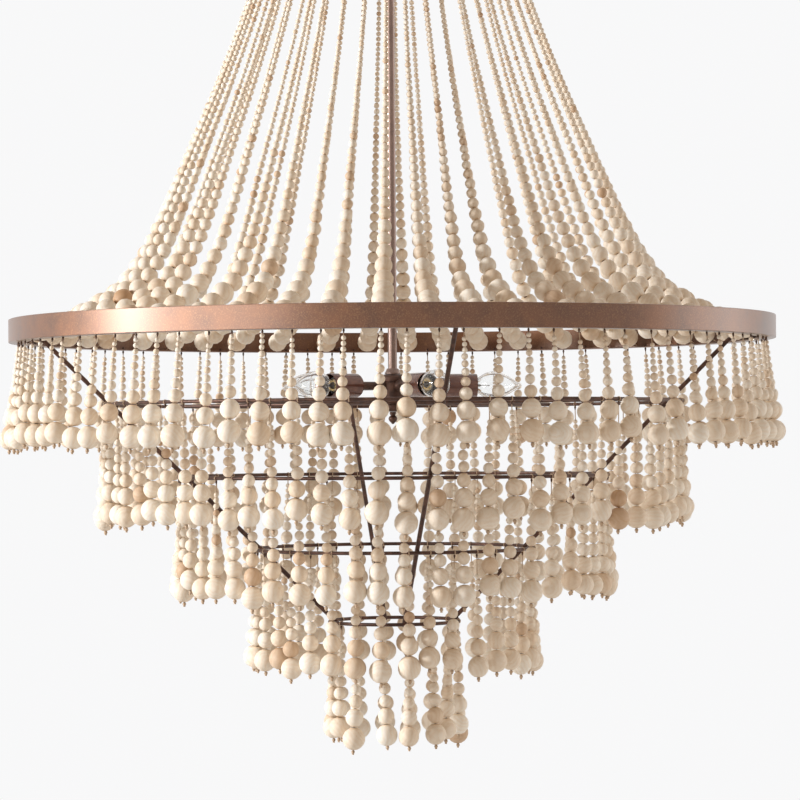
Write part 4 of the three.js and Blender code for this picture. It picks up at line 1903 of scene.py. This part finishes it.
@dataclass
class CeilingEnd:
    """The canopy and what holds it to the ceiling."""

    radius: float = 0.065
    depth: float = 0.030
    rim: float = 0.006
    neck: float = 0.017
    wall: float = 0.0016
    ogee_shares: Outline = (
        (1, 0), (0.93, 0.22), (0.78, 0.50), (0.55, 0.68), (0.33, 0.78), (0.15, 0.87), (0.05, 0.95), (0, 1),
    )
    rim_profile: Outline = ((-0.0005, 0), (0, -0.0005), (0, -0.0052))
    neck_rounding: float = 0.0006
    inside_rise: float = 0.00096
    hole: float = 0.0053
    canopy_sides: int = 96
    stud_radius: float = 0.005
    stud_low: float = -0.0365
    thread_depth: float = 0.0005
    thread_turns: int = 28
    stud_sides: int = 24
    stud_crease: float = 60.0

    def build(self, maker: Maker) -> None:
        """Builds the canopy and the stud, and dresses the strap and its nut.

        Args:
            maker: What makes the pieces.
        """
        canopy = Body.CANOPY.value
        spun = turned_shape(self.canopy_outline, self.canopy_sides)
        maker.piece("canopy_spun", spun, [HOOP_BRONZE], "canopy", canopy)
        stud = turned_shape(self.stud_outline, self.stud_sides)
        maker.piece(
            "canopy_stud_threaded", stud, [ZINC_PLATE], "canopy_stud", canopy, self.stud_crease
        )
        maker.dress("ceiling_strap", ZINC_PLATE)
        maker.dress("strap_nut", ZINC_PLATE)

    @property
    def canopy_outline(self) -> Outline:
        """Draws the thin spun canopy.

        Returns:
            The outline.
        """
        run, drop = self.radius - self.neck, self.depth - self.rim
        ogee = [(self.neck + run * x, -self.rim - drop * z) for x, z in self.ogee_shares]
        course = smooth_outline(ogee, SMOOTH_STEPS)
        inside = [(x - self.wall, z + self.inside_rise) for x, z in reversed(course[:-2])]
        low, floor = -self.depth, -self.depth + self.wall
        return [
            *profile_at(self.radius, 0, self.rim_profile), *course, (self.neck - self.neck_rounding, low),
            (self.hole, low), (self.hole, floor), (self.neck - self.wall, floor), *inside,
            (self.radius - self.wall, 0),
        ]

    @property
    def stud_outline(self) -> Outline:
        """Draws the threaded stud.

        Returns:
            The outline.
        """
        pitch, core = -self.stud_low / self.thread_turns, self.stud_radius - self.thread_depth
        turn = ((0, 0), (self.thread_depth, pitch * 0.5))
        thread = profile_at(core, self.stud_low, turn, pitch, self.thread_turns)
        return [(0, self.stud_low), *thread, (core, 0), (0, 0)]


@dataclass(frozen=True)
class AreaLight:
    """A round area light that faces the chandelier."""

    name: str
    place: tuple[float, float, float]
    size: float
    power: float
    colour: tuple[float, float, float]
    in_reflections: bool = True
    on_surfaces: bool = True

    def build(self, target: Vector) -> None:
        """Adds the light.

        Args:
            target: The point that it faces.
        """
        data = bpy.data.lights.new(self.name, "AREA")
        data.shape = "DISK"
        data.size = self.size
        data.energy = self.power
        data.color = self.colour
        made = new_object(self.name, data)
        made.location = self.place
        made.rotation_euler = (target - Vector(self.place)).to_track_quat("-Z", "Y").to_euler()
        made.visible_glossy = self.in_reflections
        made.visible_diffuse = self.on_surfaces


@dataclass
class Studio:
    """The pale floor, the lights, the pale surroundings and the camera."""

    floor_height: float = -2.6
    half_width: float = 9.5
    floor_colours: tuple[Colour, Colour] = ((0.84, 0.84, 0.835, 1), (0.88, 0.88, 0.875, 1))
    floor_mottle: float = 0.4
    floor_glow: float = 0.75
    paleness: float = 0.94
    paleness_blue: float = 1.005
    ambient: float = 0.345
    ambient_tint: tuple[float, float, float] = (1, 0.77, 0.57)
    middle: tuple[float, float, float] = (0, 0, -0.85)
    lights: tuple[AreaLight, ...] = (
        AreaLight("key", (-6.85, -1.25, 0.35), 1.3, 580.0, (1.0, 1.0, 1.0)),
        AreaLight("edge", (4.3, 0.90, -0.50), 3.0, 52.0, (1.0, 0.985, 0.96)),
        AreaLight("fill", (1.6, -4.4, -0.40), 2.4, 17.0, (1.0, 0.92, 0.83), in_reflections=False),
        AreaLight("sheen", (-3.3, -3.1, -0.55), 3.0, 132.0, (1.0, 1.0, 0.99), on_surfaces=False),
    )
    pixels: int = 800
    focal_pixels: float = 3088.0
    sensor_width: float = 36.0
    camera_distance: float = 3.50
    camera_height: float = -0.9417
    camera_sight: Span = (0.1, 50.0)
    horizon_row: float = 442.2
    axis_column: float = 392.8
    roll: float = -0.42

    def build(self) -> None:
        """Builds the stage, lights it and sets the camera."""
        self.floor()
        for light in self.lights:
            light.build(Vector(self.middle))
        self.world()
        self.camera()
        log.info("studio: floor, lights and camera")

    def floor_paint(self) -> bpy.types.Material:
        """Builds the floor's paint, which keeps shadows, is pale to the camera and isn't seen from below.

        Returns:
            The material.
        """
        g = Graph(bpy.data.materials.new("floor_paint"))
        colour = g.mix(g.noise(g.object_place(), self.floor_mottle, detail=2.0), *self.floor_colours)
        painted = g.add("BsdfDiffuse", {"Color": colour, "Roughness": 0.9})
        glow = g.add("Emission", {"Color": (self.paleness, self.paleness, self.paleness, 1), "Strength": 1.0})
        share = g.math("MULTIPLY", g.seen(), self.floor_glow)
        above = g.add("MixShader", {0: share, 1: painted.outputs[0], 2: glow.outputs[0]})
        below = g.add("NewGeometry").outputs["Backfacing"]
        clear = g.add("BsdfTransparent")
        both = g.add("MixShader", {0: below, 1: above.outputs[0], 2: clear.outputs[0]})
        g.add("OutputMaterial", {"Surface": both.outputs[0]})
        return g.owner

    def floor(self) -> None:
        """Adds the floor."""
        bm = bmesh.new()
        place = Matrix.Translation((0, 0, self.floor_height))
        bmesh.ops.create_grid(bm, x_segments=1, y_segments=1, size=self.half_width, matrix=place)
        mesh = bpy.data.meshes.new("floor")
        bm.to_mesh(mesh)
        bm.free()
        mesh.materials.append(self.floor_paint())
        new_object("floor", mesh)

    def world(self) -> None:
        """Adds the pale surroundings, plain to the camera, metal and glass and warmer to the wood."""
        world = bpy.data.worlds.new("pale_room")
        bpy.context.scene.world = world
        g = Graph(world)
        dim = (*(self.ambient * share for share in self.ambient_tint), 1)
        pale = (self.paleness, self.paleness, self.paleness * self.paleness_blue, 1)
        background = g.add("Background", {"Color": g.mix(g.seen(), dim, pale)})
        g.add("OutputWorld", {"Surface": background.outputs[0]})

    def camera(self) -> None:
        """Sets the camera where the photograph was taken from."""
        data = bpy.data.cameras.new("camera")
        data.sensor_width = self.sensor_width
        data.lens = self.focal_pixels / self.pixels * data.sensor_width
        data.clip_start, data.clip_end = self.camera_sight
        made = new_object("camera", data)
        made.location = (0, -self.camera_distance, self.camera_height)
        rise = math.atan((self.horizon_row - self.pixels / 2) / self.focal_pixels)
        yaw = math.atan((self.axis_column - self.pixels / 2) / self.focal_pixels)
        aim = Matrix.Rotation(yaw, 4, "Z") @ Matrix.Rotation(math.radians(90) + rise, 4, "X")
        made.rotation_mode = "QUATERNION"
        made.rotation_quaternion = (aim @ Matrix.Rotation(math.radians(self.roll), 4, "Z")).to_quaternion()
        bpy.context.scene.camera = made


def main() -> None:
    """Builds the chandelier around the frame."""
    logging.basicConfig(level=logging.INFO, format="%(name)s %(message)s", stream=sys.stdout)
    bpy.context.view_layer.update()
    bpy.context.scene.view_settings.view_transform = "Standard"
    Studio().build()
    maker = Maker()
    above = (CeilingEnd(), Chain(), Crown(), Centre())
    strings_and_rods = (Curtain(), Hoop(), RingTiers(), Struts())
    lamps = (Lamp(n + 1, FIRST_LAMP + LAMP_SPACING * n) for n in range(LAMP_COUNT))
    for assembly in (*above, *strings_and_rods, *lamps):
        assembly.build(maker)


if __name__ == "__main__":
    main()
